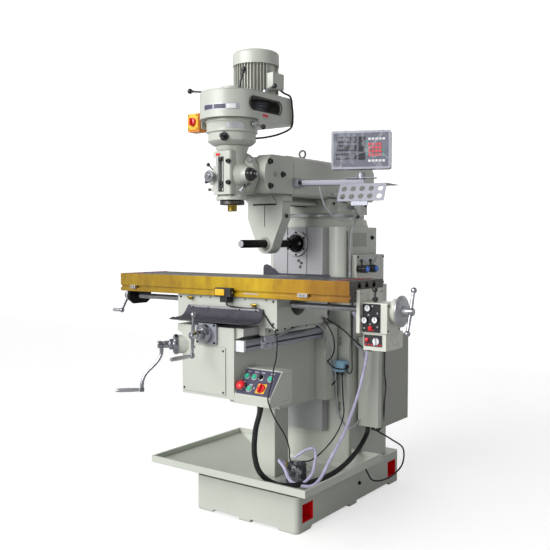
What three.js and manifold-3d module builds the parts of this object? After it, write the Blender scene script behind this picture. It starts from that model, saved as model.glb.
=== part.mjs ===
// Turret milling machine with a swivelling vertical head and a horizontal arbor.
// Units are millimetres. Origin: floor level at the middle of the base.
// +X is the operator's right, +Y runs back to the column, +Z is up.
import * as THREE from 'three';
import { mergeGeometries, mergeVertices } from 'three/addons/utils/BufferGeometryUtils.js';
import Module from 'manifold-3d';

// ---------- driving dimensions ----------
const BASE = { halfX: 314, halfY: 513, top: 176, foot: 14 };
const TRAY = { halfX: 468, front: -678, back: 34, rim: 285, lip: 34 };
const COLUMN = { halfX: 250, footX: 285, front: 0, back: 415, top: 1442 };
const WAYS = { halfX: 158, front: -60, bottom: 372, top: 1442 };
const TURRET = { y: 222, r: 212, z0: 1485.3 };
const SPINDLE_H = { z: 1355 };
const RAM = { halfX: 140, front: -297, back: 520, top: 1790 };
const SUPPORT = { front: -347, back: -275 };
const PIVOT = { y: -426, z: 1686, cheek: 104, tongue: 86, halfX: 61.5 };
const HEAD = { y: -600, tiltZ: 1686, flange: -548 };
const QUILL = { r: 43, bottom: 1560 };
const GEARS = { r: 116, z0: 1812, z1: 1930 };
const BELTS = { r: 150, z0: 1930.3, z1: 2058, back: -290 };
const MOTOR = { y: -416, r: 113, z0: 2058.3, z1: 2281 };
const TABLE = { halfX: 685, front: -677, back: -385, top: 1203, bottom: 1113 };
const SADDLE = { halfX: 300, front: -655, back: -235, bottom: 982.3, top: 1112.7 };
const KNEE = { halfX: 155, wayX: 198, front: -780, back: -12, top: 982, plate: -120 };
const TABLE_SCREW = { y: -535, z: 1078, r: 14 };
const CROSS_SCREW = { z: 950, r: 12 };
const LIFT_SCREW = { y: -285, r: 22 };
const CONTROL = { x0: 155.3, x1: 357, front: -780, back: -620, z0: 650, z1: 798 };
const CABINET = { x0: 305, x1: 425, front: 60, back: 372, z0: 404, z1: 868 };
const FEED = { x0: 700, x1: 818, front: -600, back: -480, z0: 985, z1: 1113 };

// Facets given to each round part, as a share of the count asked for it.
const ROUNDNESS = 0.6;

// ---------- finishes ----------
const PAINT = ['machine_paint', 0xb9bfb2, 0.42, 0.0];
const CAST = ['dark_cast', 0x3b3a38, 0.6, 0.6];
const STEEL = ['ground_steel', 0xb4b6b8, 0.3, 1.0];
const CHROME = ['bright_chrome', 0xe2e4e6, 0.1, 1.0];
const ALU = ['cast_aluminium', 0xb9bbcd, 0.45, 0.9];
const BLACK = ['black_plastic', 0x16161a, 0.4, 0.0];
const RUBBER = ['black_rubber', 0x1b1b20, 0.8, 0.0];
const BRASS = ['nose_brass', 0xb09a4a, 0.3, 1.0];
const GREEN = ['green_plastic', 0x24b890, 0.35, 0.0];
const RED = ['red_plastic', 0xd0161e, 0.35, 0.0];

// ---------- shape helpers ----------
const wasm = await Module();
wasm.setup();
const root = new THREE.Group();
root.name = 'milling_machine';

/** Add a finished piece under its own name. */
function piece(name, geometry, finish) {
  const [label, color, roughness, metalness] = finish;
  const material = new THREE.MeshStandardMaterial({ color, roughness, metalness });
  material.name = label;
  const mesh = new THREE.Mesh(geometry, material);
  mesh.name = name;
  root.add(mesh);
}

/** Box between two corners. */
function box(x0, x1, y0, y1, z0, z1) {
  return new THREE.BoxGeometry(x1 - x0, y1 - y0, z1 - z0)
    .translate((x0 + x1) / 2, (y0 + y1) / 2, (z0 + z1) / 2);
}

/** Even facet count, never under eight. */
function facets(segments) {
  return Math.max(8, 2 * Math.round(segments * ROUNDNESS / 2));
}

/** Solid of revolution about a line through `at` along `dir`; pairs are [radius, distance]. */
function turned(pairs, at, dir, segments = 24) {
  const points = pairs.map(([r, h]) => new THREE.Vector2(r, h));
  const g = new THREE.LatheGeometry(points, facets(segments));
  const axis = new THREE.Vector3(...dir).normalize();
  const turn = new THREE.Quaternion().setFromUnitVectors(new THREE.Vector3(0, 1, 0), axis);
  return g.applyQuaternion(turn).translate(...at);
}

/** Plain round bar from `at`, `length` long, with both rims chamfered by `c`. */
function bar(r, length, at, dir, segments = 20, c = 0) {
  const rims = c
    ? [[0, 0], [r - c, 0], [r, c], [r, length - c], [r - c, length], [0, length]]
    : [[0, 0], [r, 0], [r, length], [0, length]];
  return turned(rims, at, dir, segments);
}

/** Round hole whose flats still clear a shaft of radius r by 0.3. */
function hole(r, length, at, dir, segments = 20) {
  return bar((r + 0.3) / Math.cos(Math.PI / facets(segments)), length, at, dir, segments);
}

/** Ball of radius r centred at `at`. */
function ball(r, at) {
  return new THREE.SphereGeometry(r, 8, 6).translate(...at);
}

/** Round bar running straight between two points. */
function link(a, b, r, segments = 10) {
  const from = new THREE.Vector3(...a);
  const way = new THREE.Vector3(...b).sub(from);
  return bar(r, way.length(), a, way.toArray(), segments);
}

/** Flat outline extruded along X, Y or Z from lo to hi; an outline is a list of pairs. */
function prism(outline, axis, lo, hi) {
  const shape = outline instanceof THREE.Shape
    ? outline : new THREE.Shape(outline.map(([a, b]) => new THREE.Vector2(a, b)));
  const g = new THREE.ExtrudeGeometry(shape, {
    depth: hi - lo, bevelEnabled: false, curveSegments: 4,
  });
  const m = new THREE.Matrix4();
  if (axis === 'z') m.makeTranslation(0, 0, lo);
  if (axis === 'x') m.set(0, 0, 1, lo, 1, 0, 0, 0, 0, 1, 0, 0, 0, 0, 0, 1);
  if (axis === 'y') m.set(1, 0, 0, 0, 0, 0, -1, hi, 0, 1, 0, 0, 0, 0, 0, 1);
  return g.applyMatrix4(m);
}

/** Rectangle outline with rounded corners. */
function rounded(x0, x1, y0, y1, r) {
  const s = new THREE.Shape();
  s.moveTo(x0 + r, y0);
  s.lineTo(x1 - r, y0);
  s.absarc(x1 - r, y0 + r, r, -Math.PI / 2, 0, false);
  s.lineTo(x1, y1 - r);
  s.absarc(x1 - r, y1 - r, r, 0, Math.PI / 2, false);
  s.lineTo(x0 + r, y1);
  s.absarc(x0 + r, y1 - r, r, Math.PI / 2, Math.PI, false);
  s.lineTo(x0, y0 + r);
  s.absarc(x0 + r, y0 + r, r, Math.PI, Math.PI * 1.5, false);
  return s;
}

function toSolid(g) {
  const bare = g.clone();
  bare.deleteAttribute('normal');
  bare.deleteAttribute('uv');
  const merged = mergeVertices(bare, 1e-4);
  return new wasm.Manifold(new wasm.Mesh({
    numProp: 3,
    vertProperties: new Float32Array(merged.attributes.position.array),
    triVerts: new Uint32Array(merged.index.array),
  }));
}

function toGeometry(solid) {
  const mesh = solid.simplify(0.02).getMesh();
  const g = new THREE.BufferGeometry();
  g.setAttribute('position', new THREE.BufferAttribute(mesh.vertProperties, 3));
  g.setIndex(new THREE.BufferAttribute(mesh.triVerts, 1));
  g.computeVertexNormals();
  return g;
}

/** One solid from several overlapping shapes, with other shapes cut away. */
function fuse(parts, cuts = []) {
  let solid = toSolid(parts[0]);
  for (const p of parts.slice(1)) solid = solid.add(toSolid(p));
  for (const c of cuts) solid = solid.subtract(toSolid(c));
  return toGeometry(solid);
}

/** Four hexagon or round screw heads standing on a face. */
function studs(places, r, length, dir, segments = 6) {
  return places.map((at) => bar(r, length, at, dir, segments));
}

// ---------- base, tray, column ----------
{
  const { halfX, halfY, top, foot } = BASE;
  const body = prism(rounded(-halfX, halfX, -halfY, halfY, 26), 'z', 0, top);
  const cuts = [
    prism([[-210, -1], [-196, foot], [-36, foot], [-36, -1]], 'y', -halfY - 1, halfY + 1),
    prism([[36, -1], [36, foot], [196, foot], [210, -1]], 'y', -halfY - 1, halfY + 1),
    prism([[-400, -1], [-386, foot], [-36, foot], [-36, -1]], 'x', -halfX - 1, halfX + 1),
    prism([[36, -1], [36, foot], [386, foot], [400, -1]], 'x', -halfX - 1, halfX + 1),
  ];
  for (const side of [-1, 1]) {
    for (const y of [-425, 425]) {
      cuts.push(box(...(side < 0 ? [-halfX - 1, -halfX + 70] : [halfX - 70, halfX + 1]),
        y - 46, y + 46, 44, 132));
    }
  }
  cuts.push(bar(LIFT_SCREW.r + 4, top + 2, [0, LIFT_SCREW.y, -1], [0, 0, 1], 24));
  // Hollow underside, with a cross wall left standing under the middle pad.
  for (const [y0, y1] of [[40, halfY - 30], [-halfY + 30, -40]]) {
    cuts.push(box(-halfX + 74, halfX - 74, y0, y1, -1, top - 26));
  }
  piece('base_casting', fuse([body], cuts), PAINT);
}
{
  const { halfX, front, back, rim, lip } = TRAY;
  const floor = BASE.top + 0.3;
  const inX = 300;
  const inFront = -500;
  // Four-sided funnel: wide at the rim, narrow at the floor.
  const funnel = (grow, z0, z1, top, bottom) => {
    const [tx, tf, tb] = top;
    const [bx, bf, bb] = bottom;
    const g = new THREE.BufferGeometry();
    const v = [
      [-bx - grow, bf - grow, z0], [bx + grow, bf - grow, z0],
      [bx + grow, bb + grow, z0], [-bx - grow, bb + grow, z0],
      [-tx - grow, tf - grow, z1], [tx + grow, tf - grow, z1],
      [tx + grow, tb + grow, z1], [-tx - grow, tb + grow, z1],
    ];
    const quads = [[0, 3, 2, 1], [4, 5, 6, 7], [0, 1, 5, 4], [1, 2, 6, 5], [2, 3, 7, 6],
      [3, 0, 4, 7]];
    const index = quads.flatMap(([a, b, c, d]) => [a, b, c, a, c, d]);
    g.setAttribute('position', new THREE.BufferAttribute(new Float32Array(v.flat()), 3));
    g.setIndex(index);
    return g;
  };
  const outer = funnel(0, floor, rim - lip, [halfX - 12, front + 12, back - 4],
    [inX, inFront, back - 40]);
  const band = box(-halfX, halfX, front, back, rim - lip, rim);
  const inner = funnel(0, floor + 6, rim - lip + 8, [halfX - 24, front + 24, back - 14],
    [inX - 4, inFront + 4, back - 44]);
  const mouth = box(-halfX + 12, halfX - 12, front + 12, back - 12, rim - lip + 7.9, rim + 1);
  const columnHole = box(-COLUMN.footX - 0.3, COLUMN.footX + 0.3, -0.3, 500, 100, rim + 1);
  const pedestalHole = box(-58.3, 58.3, -340.3, -219.7, 100, rim + 1);
  piece('chip_tray', fuse([outer, band], [inner, mouth, columnHole, pedestalHole]), PAINT);
}
{
  const shaft = box(-58, 58, -340, -220, BASE.top + 0.3, 560);
  const bore = hole(LIFT_SCREW.r, 400, [0, LIFT_SCREW.y, BASE.top], [0, 0, 1], 24);
  piece('screw_pedestal', fuse([shaft], [bore]), PAINT);
}
{
  const { halfX, footX, front, back, top } = COLUMN;
  const z0 = BASE.top + 0.3;
  const lower = prism(rounded(-footX, footX, front, back, 8), 'z', z0, 1130);
  const upper = prism(rounded(-halfX, halfX, front, back - 20, 62), 'z', 1100, top);
  const boss = turned([[0, 0], [236, 0], [224, 43.4], [0, 43.4]], [0, TURRET.y, top - 0.4],
    [0, 0, 1], 48);
  const ways = box(-WAYS.halfX, WAYS.halfX, WAYS.front, front + 30, WAYS.bottom, WAYS.top);
  const plugs = studs([[12, WAYS.front + 1, 1262], [28, WAYS.front + 1, 1250],
    [20, WAYS.front + 1, 1230]], 9, 3, [0, -1, 0], 12);
  const nameplate = box(halfX - 2, halfX + 2, 96, 236, 1344, 1412);
  const cuts = [
    hole(38, 260, [0, WAYS.front - 1, SPINDLE_H.z], [0, 1, 0], 32),
    box(-footX + 60, footX - 60, front + 40, back - 40, z0 - 1, 1290),
    box(-64, -58, WAYS.front - 1, WAYS.front + 5, 700, top + 1),
    box(58, 64, WAYS.front - 1, WAYS.front + 5, 700, top + 1),
    prism(rounded(220, 240, 826, 870, 9), 'y', -1, 8),
    prism(rounded(220, 240, 482, 526, 9), 'y', -1, 8),
  ];
  piece('column', fuse([lower, upper, boss, ways, ...plugs, nameplate], cuts), PAINT);
}

// ---------- horizontal spindle and gear change ----------
{
  const y = WAYS.front - 0.3;
  const screws = [30, 90, 150, 210, 270, 330].map((a) => {
    const t = THREE.MathUtils.degToRad(a);
    return [56 * Math.cos(t), y - 11, SPINDLE_H.z + 56 * Math.sin(t)];
  });
  piece('spindle_flange', fuse([
    bar(68, 12, [0, y, SPINDLE_H.z], [0, -1, 0], 36, 2),
    ...studs(screws, 5, 5, [0, -1, 0], 8),
  ], [hole(38, 40, [0, y + 5, SPINDLE_H.z], [0, -1, 0], 32)]), STEEL);
  piece('horizontal_arbor', turned([
    [0, 0], [36, 0], [38, 4], [38, 246], [32, 248], [30, 268], [26, 270], [26, 296], [20, 300],
    [20, 692], [16, 697], [0, 697],
  ], [0, 160, SPINDLE_H.z], [0, -1, 0], 28), CAST);
}
{
  const x0 = COLUMN.halfX + 0.3;
  const x1 = x0 + 30;
  piece('gear_change_box', prism([[x0, 78], [x1 - 6, 78], [x1, 84], [x1, 380], [x1 - 6, 386],
    [x0, 386]], 'z', 1130.3, 1296), PAINT);
  for (const [name, y] of [['front_gear_lever', 98], ['rear_gear_lever', 194]]) {
    piece(name, fuse([
      bar(21, 56, [x1 + 0.3, y, 1222], [1, 0, 0], 20, 3),
      bar(14, 8, [x1 + 55, y, 1222], [1, 0, 0], 16),
      link([x1 + 22, y, 1222], [x1 + 22, y - 6, 1262], 6, 8),
      ball(10, [x1 + 22, y - 6, 1266]),
    ]), BLACK);
  }
  piece('spindle_range_lever', fuse([
    bar(11, 10, [x1 + 0.3, 262, 1246], [1, 0, 0], 14),
    link([x1 + 7, 262, 1246], [x1 + 12, 290, 1292], 4, 8),
  ]), STEEL);
}

// ---------- cabinet and coolant ----------
{
  const { x0, x1, front, back, z0, z1 } = CABINET;
  piece('electrical_cabinet', fuse([box(x0, x1, front, back, z0, z1),
    box(COLUMN.footX + 0.3, x0 + 1, 100, 330, 450, 820)],
  [box(x0 + 3, x1 + 1, front + 12, back - 12, z0 + 12, z1 - 12)]), PAINT);
  piece('cabinet_door', fuse([
    prism(rounded(front + 3, back - 3, z0 + 3, z1 - 3, 4), 'x', x1 + 0.3, x1 + 14),
    bar(9, 8, [x1 + 12, front + 34, 640], [1, 0, 0], 14),
  ], [box(x1 - 1, x1 + 4, front + 16, back - 16, z0 + 16, z1 - 16)]), PAINT);
}
piece('coolant_pump', fuse([
  bar(53, 12, [184, -330, BASE.top + 6.6], [0, 0, 1], 24, 2),
  bar(44, 80, [184, -330, BASE.top + 12], [0, 0, 1], 24, 4),
  bar(50, 12, [184, -330, BASE.top + 88], [0, 0, 1], 24, 3),
]), BLACK);

// ---------- turret, ram and arbor support ----------
/** Dovetail outline in X and Z: narrow at the top, wide below, grown sideways by `gap`. */
function dovetail(gap, top, bottom) {
  return [[-50 - gap, top], [-50 - gap, 1587], [-72 - gap, 1566], [-72 - gap, bottom],
    [72 + gap, bottom], [72 + gap, 1566], [50 + gap, 1587], [50 + gap, top]];
}
{
  const { y, r, z0 } = TURRET;
  const blocks = [
    box(-150, 150, y - 200, y + 200, 1514, 1589.7),
    turned([[0, 0], [196, 0], [196, 60], [186, 66], [0, 66]], [0, y, 1510], [0, 0, 1], 40),
  ];
  const bolts = studs([[176, y - 82, 1540], [182, y, 1540], [176, y + 82, 1540]].map(
    ([x, by]) => [x, by, 1575]), 11, 12, [0, 0, 1]);
  piece('turret', fuse([bar(r, 30, [0, y, z0], [0, 0, 1], 48, 2), ...blocks, ...bolts],
    [prism(dovetail(0.5, 1600, 1552.5), 'y', -100, 600)]), PAINT);
}
{
  const { halfX, front, back, top } = RAM;
  const section = [[-halfX, 1602], [-halfX, 1752], [-128, 1778], [-100, top], [100, top],
    [128, 1778], [halfX, 1752], [halfX, 1602], [128, 1590], [-128, 1590]];
  const ring = new THREE.TorusGeometry(19, 5.5, 6, 12).rotateX(Math.PI / 2)
    .translate(0, -12, top + 38);
  // Fork at the front: two cheeks that hold the tongue of the adapter.
  const { y, z, cheek, tongue } = PIVOT;
  const fork = new THREE.Shape();
  fork.moveTo(front + 1, 1598);
  fork.lineTo(front + 1, 1778);
  fork.absarc(y, z, cheek, Math.PI * 0.655, Math.PI * 1.32, false);
  const bolts = [-1, 1].flatMap((side) => [[-492, 1743], [-388, 1688], [-489, 1629]]
    .map(([by, bz]) => bar(12, 16, [side * (halfX - 1), by, bz], [side, 0, 0], 6)));
  piece('ram', fuse([
    prism(section, 'y', front, back),
    prism(fork, 'x', -halfX, halfX),
    prism(dovetail(0, 1592, 1553), 'y', -352, back),
    box(-120, 120, -352, front + 1, 1590, 1598),
    bar(15, 10, [0, -12, top - 1], [0, 0, 1], 20),
    bar(9, 16, [0, -12, top + 6], [0, 0, 1], 14),
    ring,
    ...bolts,
    bar(15, 4, [halfX - 1, -449, z], [1, 0, 0], 20),
  ], [
    hole(tongue, 123.6, [-61.8, y, z], [1, 0, 0], 32),
    box(-61.8, 61.8, -600, y + 4, 1500, 1900),
  ]), PAINT);
}
{
  const { front, back } = SUPPORT;
  const s = new THREE.Shape();
  s.moveTo(-118, 1589.7);
  s.lineTo(-118, 1566);
  s.lineTo(-106, 1560);
  s.lineTo(-106, 1478);
  s.lineTo(-50, 1345);
  s.absarc(0, SPINDLE_H.z, 50, Math.PI * 1.06, Math.PI * 1.94, false);
  s.lineTo(106, 1478);
  s.lineTo(106, 1560);
  s.lineTo(118, 1566);
  s.lineTo(118, 1589.7);
  piece('arbor_support', fuse([
    prism(s, 'y', front, back),
    bar(9, 16, [104, (front + back) / 2, 1492], [1, 0, 0], 6),
  ], [
    prism(dovetail(0.5, 1600, 1548), 'y', front - 1, back + 1),
    box(-2, 2, front - 1, back + 1, 1440, 1550),
    hole(20, 90, [0, back + 1, SPINDLE_H.z], [0, -1, 0], 28),
  ]), PAINT);
}
piece('ram_pinion_lever', fuse([
  bar(13, 40, [196.3, 150, 1548], [1, 0, 0], 16),
  link([229, 150, 1548], [231, 176, 1500], 5, 8),
  link([229, 150, 1548], [231, 128, 1584], 5, 8),
  ball(11, [231, 126, 1586]),
  ball(11, [231, 178, 1498]),
]), CHROME);

// ---------- digital readout on its arm ----------
{
  const arm = fuse([box(0, 320, -14, 14, 1640, 1668), bar(20, 34, [306, 0, 1667], [0, 0, 1], 20),
    box(230, 380, -22, 22, 1671, 1676)]);
  arm.applyMatrix4(new THREE.Matrix4().makeRotationZ(0.42).setPosition(154, -268, 0));
  const holes = [];
  for (const row of [25, 66]) {
    for (let i = 0; i < 5; i += 1) {
      holes.push(bar(13, 12, [27 + i * 46, row, -4], [0, 0, 1], 16));
    }
  }
  const flange = fuse([box(0, 238, 0, 94, 0, 3)], holes);
  flange.applyMatrix4(new THREE.Matrix4().makeRotationX(1.107));
  flange.translate(0, -42, -84);
  const tray = fuse([flange, box(0, 238, -1, 150, -3, 0.5)]);
  tray.applyMatrix4(new THREE.Matrix4().makeRotationZ(0.12).setPosition(366, -226, 1640));
  piece('readout_arm', fuse([arm, tray, box(RAM.halfX + 0.3, 168, -300, -236, 1634, 1674)]), ALU);
  const w = 143;
  const display = fuse([
    prism(rounded(-w, w, 0, 184, 8), 'y', -26, 26),
    bar(12, 14, [0, 0, -13], [0, 0, 1], 18),
  ], [box(-w + 12, w - 12, -27, -23, 12, 172)]);
  display.applyMatrix4(new THREE.Matrix4().makeRotationZ(0.42).setPosition(434, -144, 1714.4));
  piece('readout_display', display, ALU);
}

// ---------- head ----------
{
  const { y, z, cheek, tongue, halfX } = PIVOT;
  const nose = turned([[0, 0], [98, 0], [105, 5], [105, 18], [96, 30], [92, 66], [0, 66]],
    [0, HEAD.flange, z], [0, 1, 0], 40);
  piece('ram_adapter', fuse([
    fuse([nose], [-1, 1].map((side) => bar(cheek + 1, 100, [side * halfX, y, z], [side, 0, 0], 48))),
    bar(tongue, 2 * halfX, [-halfX, y, z], [1, 0, 0], 32),
    box(-halfX, halfX, HEAD.flange + 8, y, z - 70, z + 70),
  ]), PAINT);
}
{
  const { y, tiltZ, flange } = HEAD;
  const rear = flange - 0.3;
  const barrel = turned([[0, 0], [76, 0], [76, 16], [66, 26], [66, 214], [78, 246], [78, 251.4],
    [0, 251.4]], [0, y, QUILL.bottom], [0, 0, 1], 36);
  const bolts = studs([[44, -676, 1735], [44, -676, 1638]], 8, 14, [0, -1, 0], 8);
  piece('quill_housing', fuse([
    barrel,
    prism(rounded(-54, 54, -680, y, 12), 'z', 1584, 1784),
    turned([[0, 0], [105, 0], [105, 20], [92, 37], [0, 57]], [0, rear, tiltZ], [0, -1, 0], 40),
    turned([[0, 0], [72, 0], [66, 40], [40, 66], [36, 84], [0, 84]], [20, y, 1676], [1, 0, 0], 28),
    bar(26, 44, [-50, y, 1700], [-1, 0, 0], 20, 3),
    ...bolts,
  ], [
    box(-200, 200, rear, -400, 1500, 1900),
    box(-15, 15, -681, -652, 1596, 1758),
    hole(QUILL.r, 256, [0, y, 1540], [0, 0, 1], 32),
  ]), PAINT);
  const side = 104.3;
  piece('quill_feed_hub', fuse([
    bar(30, 16, [side, y, 1676], [1, 0, 0], 24, 2),
    bar(22, 30, [side, y, 1676], [1, 0, 0], 24, 2),
    bar(12, 38, [side, y, 1676], [1, 0, 0], 16, 2),
  ]), BLACK);
  piece('quill_lock_lever', fuse([
    bar(9, 16, [78.3, -640, 1600], [0.8, -0.6, 0], 12),
    link([88, -648, 1600], [104, -640, 1622], 4, 8),
    ball(8, [105, -639, 1624]),
  ]), CHROME);
  piece('feed_trip_lever', fuse([
    bar(9, 20, [-94.4, y, 1700], [-1, 0, 0], 12),
    link([-108, y, 1700], [-112, -640, 1728], 4, 8),
    ball(9, [-112, -642, 1730]),
    link([-108, y, 1700], [-110, -636, 1660], 4, 8),
    ball(9, [-110, -638, 1656]),
  ]), BLACK);
}
{
  const z = GEARS.z0;
  const r = GEARS.r;
  piece('gear_housing', turned([[0, 0], [80, 0], [104, 12], [r - 4, 20], [r - 4, 54], [r + 4, 58],
    [r + 4, 100], [r + 8, 104], [r + 8, GEARS.z1 - z], [0, GEARS.z1 - z]],
  [0, HEAD.y, z], [0, 0, 1], 40), PAINT);
  const out = new THREE.Vector3(0.36, -0.933, 0);
  const at = (d, h) => [out.x * d, HEAD.y + out.y * d, h];
  piece('feed_selector', fuse([
    bar(20, 8, at(112.6, 1844), out.toArray(), 16),
    bar(9, 30, at(118, 1844), out.toArray(), 12),
    ball(11, at(152, 1844)),
  ]), BLACK);
}
{
  const { r, z0, z1, back } = BELTS;
  const plan = (grow) => {
    const s = new THREE.Shape();
    const R = r + grow;
    s.absarc(0, HEAD.y, R, Math.PI, Math.PI * 2, false);
    s.lineTo(R, back + grow - 40);
    s.absarc(R - 40, back + grow - 40, 40, 0, Math.PI / 2, false);
    s.absarc(-R + 40, back + grow - 40, 40, Math.PI / 2, Math.PI, false);
    return s;
  };
  piece('belt_housing', fuse([
    prism(plan(0), 'z', z0, z1 - 6),
    prism(plan(-6), 'z', z1 - 8, z1),
    bar(58, 30, [0, HEAD.y, z1 - 2], [0, 0, 1], 28, 4),
  ], [
    prism(plan(-14), 'z', z0 + 14, z1 - 20),
    prism(rounded(-650, -412, 1968, 2024, 26), 'x', 60, r + 20),
    prism(rounded(-650, -412, 1968, 2024, 26), 'x', -r - 20, -60),
  ]), PAINT);
}
{
  const { y, r, z0, z1 } = MOTOR;
  const shell = turned([[0, 0], [124, 0], [124, 8], [r - 6, 14], [r - 6, 138], [r, 140],
    [r, z1 - z0 - 14], [r - 10, z1 - z0 - 3], [r - 22, z1 - z0], [0, z1 - z0]], [0, y, z0],
  [0, 0, 1], 36);
  piece('motor', fuse([shell, box(80, 138, y - 46, y + 46, 2090, 2168)]), PAINT);
}
{
  const top = BELTS.z1 + 0.3;
  piece('belt_tension_lever', fuse([
    bar(12, 20, [-100, HEAD.y, top], [0, 0, 1], 14),
    link([-100, HEAD.y, top + 14], [-262, HEAD.y + 4, top + 40], 5, 8),
    ball(13, [-268, HEAD.y + 4, top + 41]),
  ]), BLACK);
  piece('brake_lever', fuse([
    bar(12, 16, [76, -640, top], [0, 0, 1], 14),
    link([76, -640, top + 10], [84, -618, top + 92], 6, 8),
    ball(13, [85, -616, top + 98]),
  ]), BLACK);
  piece('motor_clamp_lever', fuse([
    bar(10, 16, [132, -520, top], [0, 0, 1], 12),
    link([132, -520, top + 10], [152, -478, top + 34], 5, 8),
    ball(12, [155, -473, top + 37]),
  ]), BLACK);
  piece('high_low_lever', fuse([
    bar(12, 14, [126.5, HEAD.y, 1904], [1, 0, 0], 14),
    link([136, HEAD.y, 1904], [150, -560, 1896], 5, 8),
    ball(12, [151, -556, 1895]),
  ]), BLACK);
  piece('cam_switch_box', fuse([box(-222, -150.6, -662, -604, 1888, 1974),
    box(-216, -158, -666, -661, 1900, 1968)]), PAINT);
  piece('cam_switch_knob', fuse([
    bar(20, 12, [-187, -666.3, 1934], [0, -1, 0], 20, 2),
    box(-192, -182, -690, -670, 1916, 1952),
  ]), RED);
}
piece('quill', fuse([
  bar(QUILL.r, 250, [0, HEAD.y, 1538], [0, 0, 1], 32, 2),
  bar(58, 20, [0, HEAD.y, 1538], [0, 0, 1], 32, 3),
], [hole(24, 300, [0, HEAD.y, 1500], [0, 0, 1], 24)]), CAST);
piece('spindle_nose', turned([[0, 0], [20, 0], [22, 3], [22, 28], [24, 32], [24, 270], [0, 270]],
  [0, HEAD.y, 1508], [0, 0, 1], 24), BRASS);

// ---------- knee ----------
{
  const { halfX, wayX, front, back, top, plate } = KNEE;
  const side = [[front, 662], [-460, 620], [-430, 556], [plate, 556], [plate, top], [front, top]];
  const body = prism(side, 'x', -halfX, halfX);
  const wayBlock = prism([[-wayX, 948], [-wayX, top], [wayX, top], [wayX, 948], [halfX, 932],
    [-halfX, 932]], 'y', front + 14, plate);
  const jaws = box(-221, 221, plate - 1, back, 556, 940);
  const crankBoss = bar(44, 103, [-105, -710, 886], [-1, -1, 0], 28, 3);
  piece('knee', fuse([body, wayBlock, jaws, crankBoss], [
    box(-WAYS.halfX - 0.3, WAYS.halfX + 0.3, WAYS.front - 0.3, 10, 500, 1100),
    box(-110, 110, -560, -170, 500, 900),
    hole(CROSS_SCREW.r, 420, [0, front - 1, CROSS_SCREW.z], [0, 1, 0], 20),
    prism([[-60, 940], [-60, 1000], [60, 1000], [60, 940]], 'y', -700, plate - 20),
    hole(14, 200, [-40, -645, 886], [-1, -1, 0], 16),
  ]), PAINT);
  piece('knee_cover', fuse([
    prism([[-148, 676], [108, 676], [108, 892], [-88, 892], [-88, 834], [-148, 834]], 'y',
      front - 4, front - 0.3),
    ...studs([[-140, front - 4, 688], [96, front - 4, 688], [96, front - 4, 876]], 5, 4,
      [0, -1, 0], 10),
  ]), PAINT);
  piece('elevating_screw', fuse([
    bar(LIFT_SCREW.r, 636, [0, LIFT_SCREW.y, 262], [0, 0, 1], 20, 3),
    bar(60, 26, [0, LIFT_SCREW.y, 872], [0, 0, 1], 24),
  ]), STEEL);
}
/** Round rod bent through the given points. */
function rod(points, r, steps) {
  const section = new THREE.Shape().absarc(0, 0, r, 0, Math.PI * 2, false);
  const path = new THREE.CatmullRomCurve3(points.map((p) => new THREE.Vector3(...p)));
  return new THREE.ExtrudeGeometry(section, {
    steps, extrudePath: path, bevelEnabled: false, curveSegments: 4,
  });
}

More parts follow.
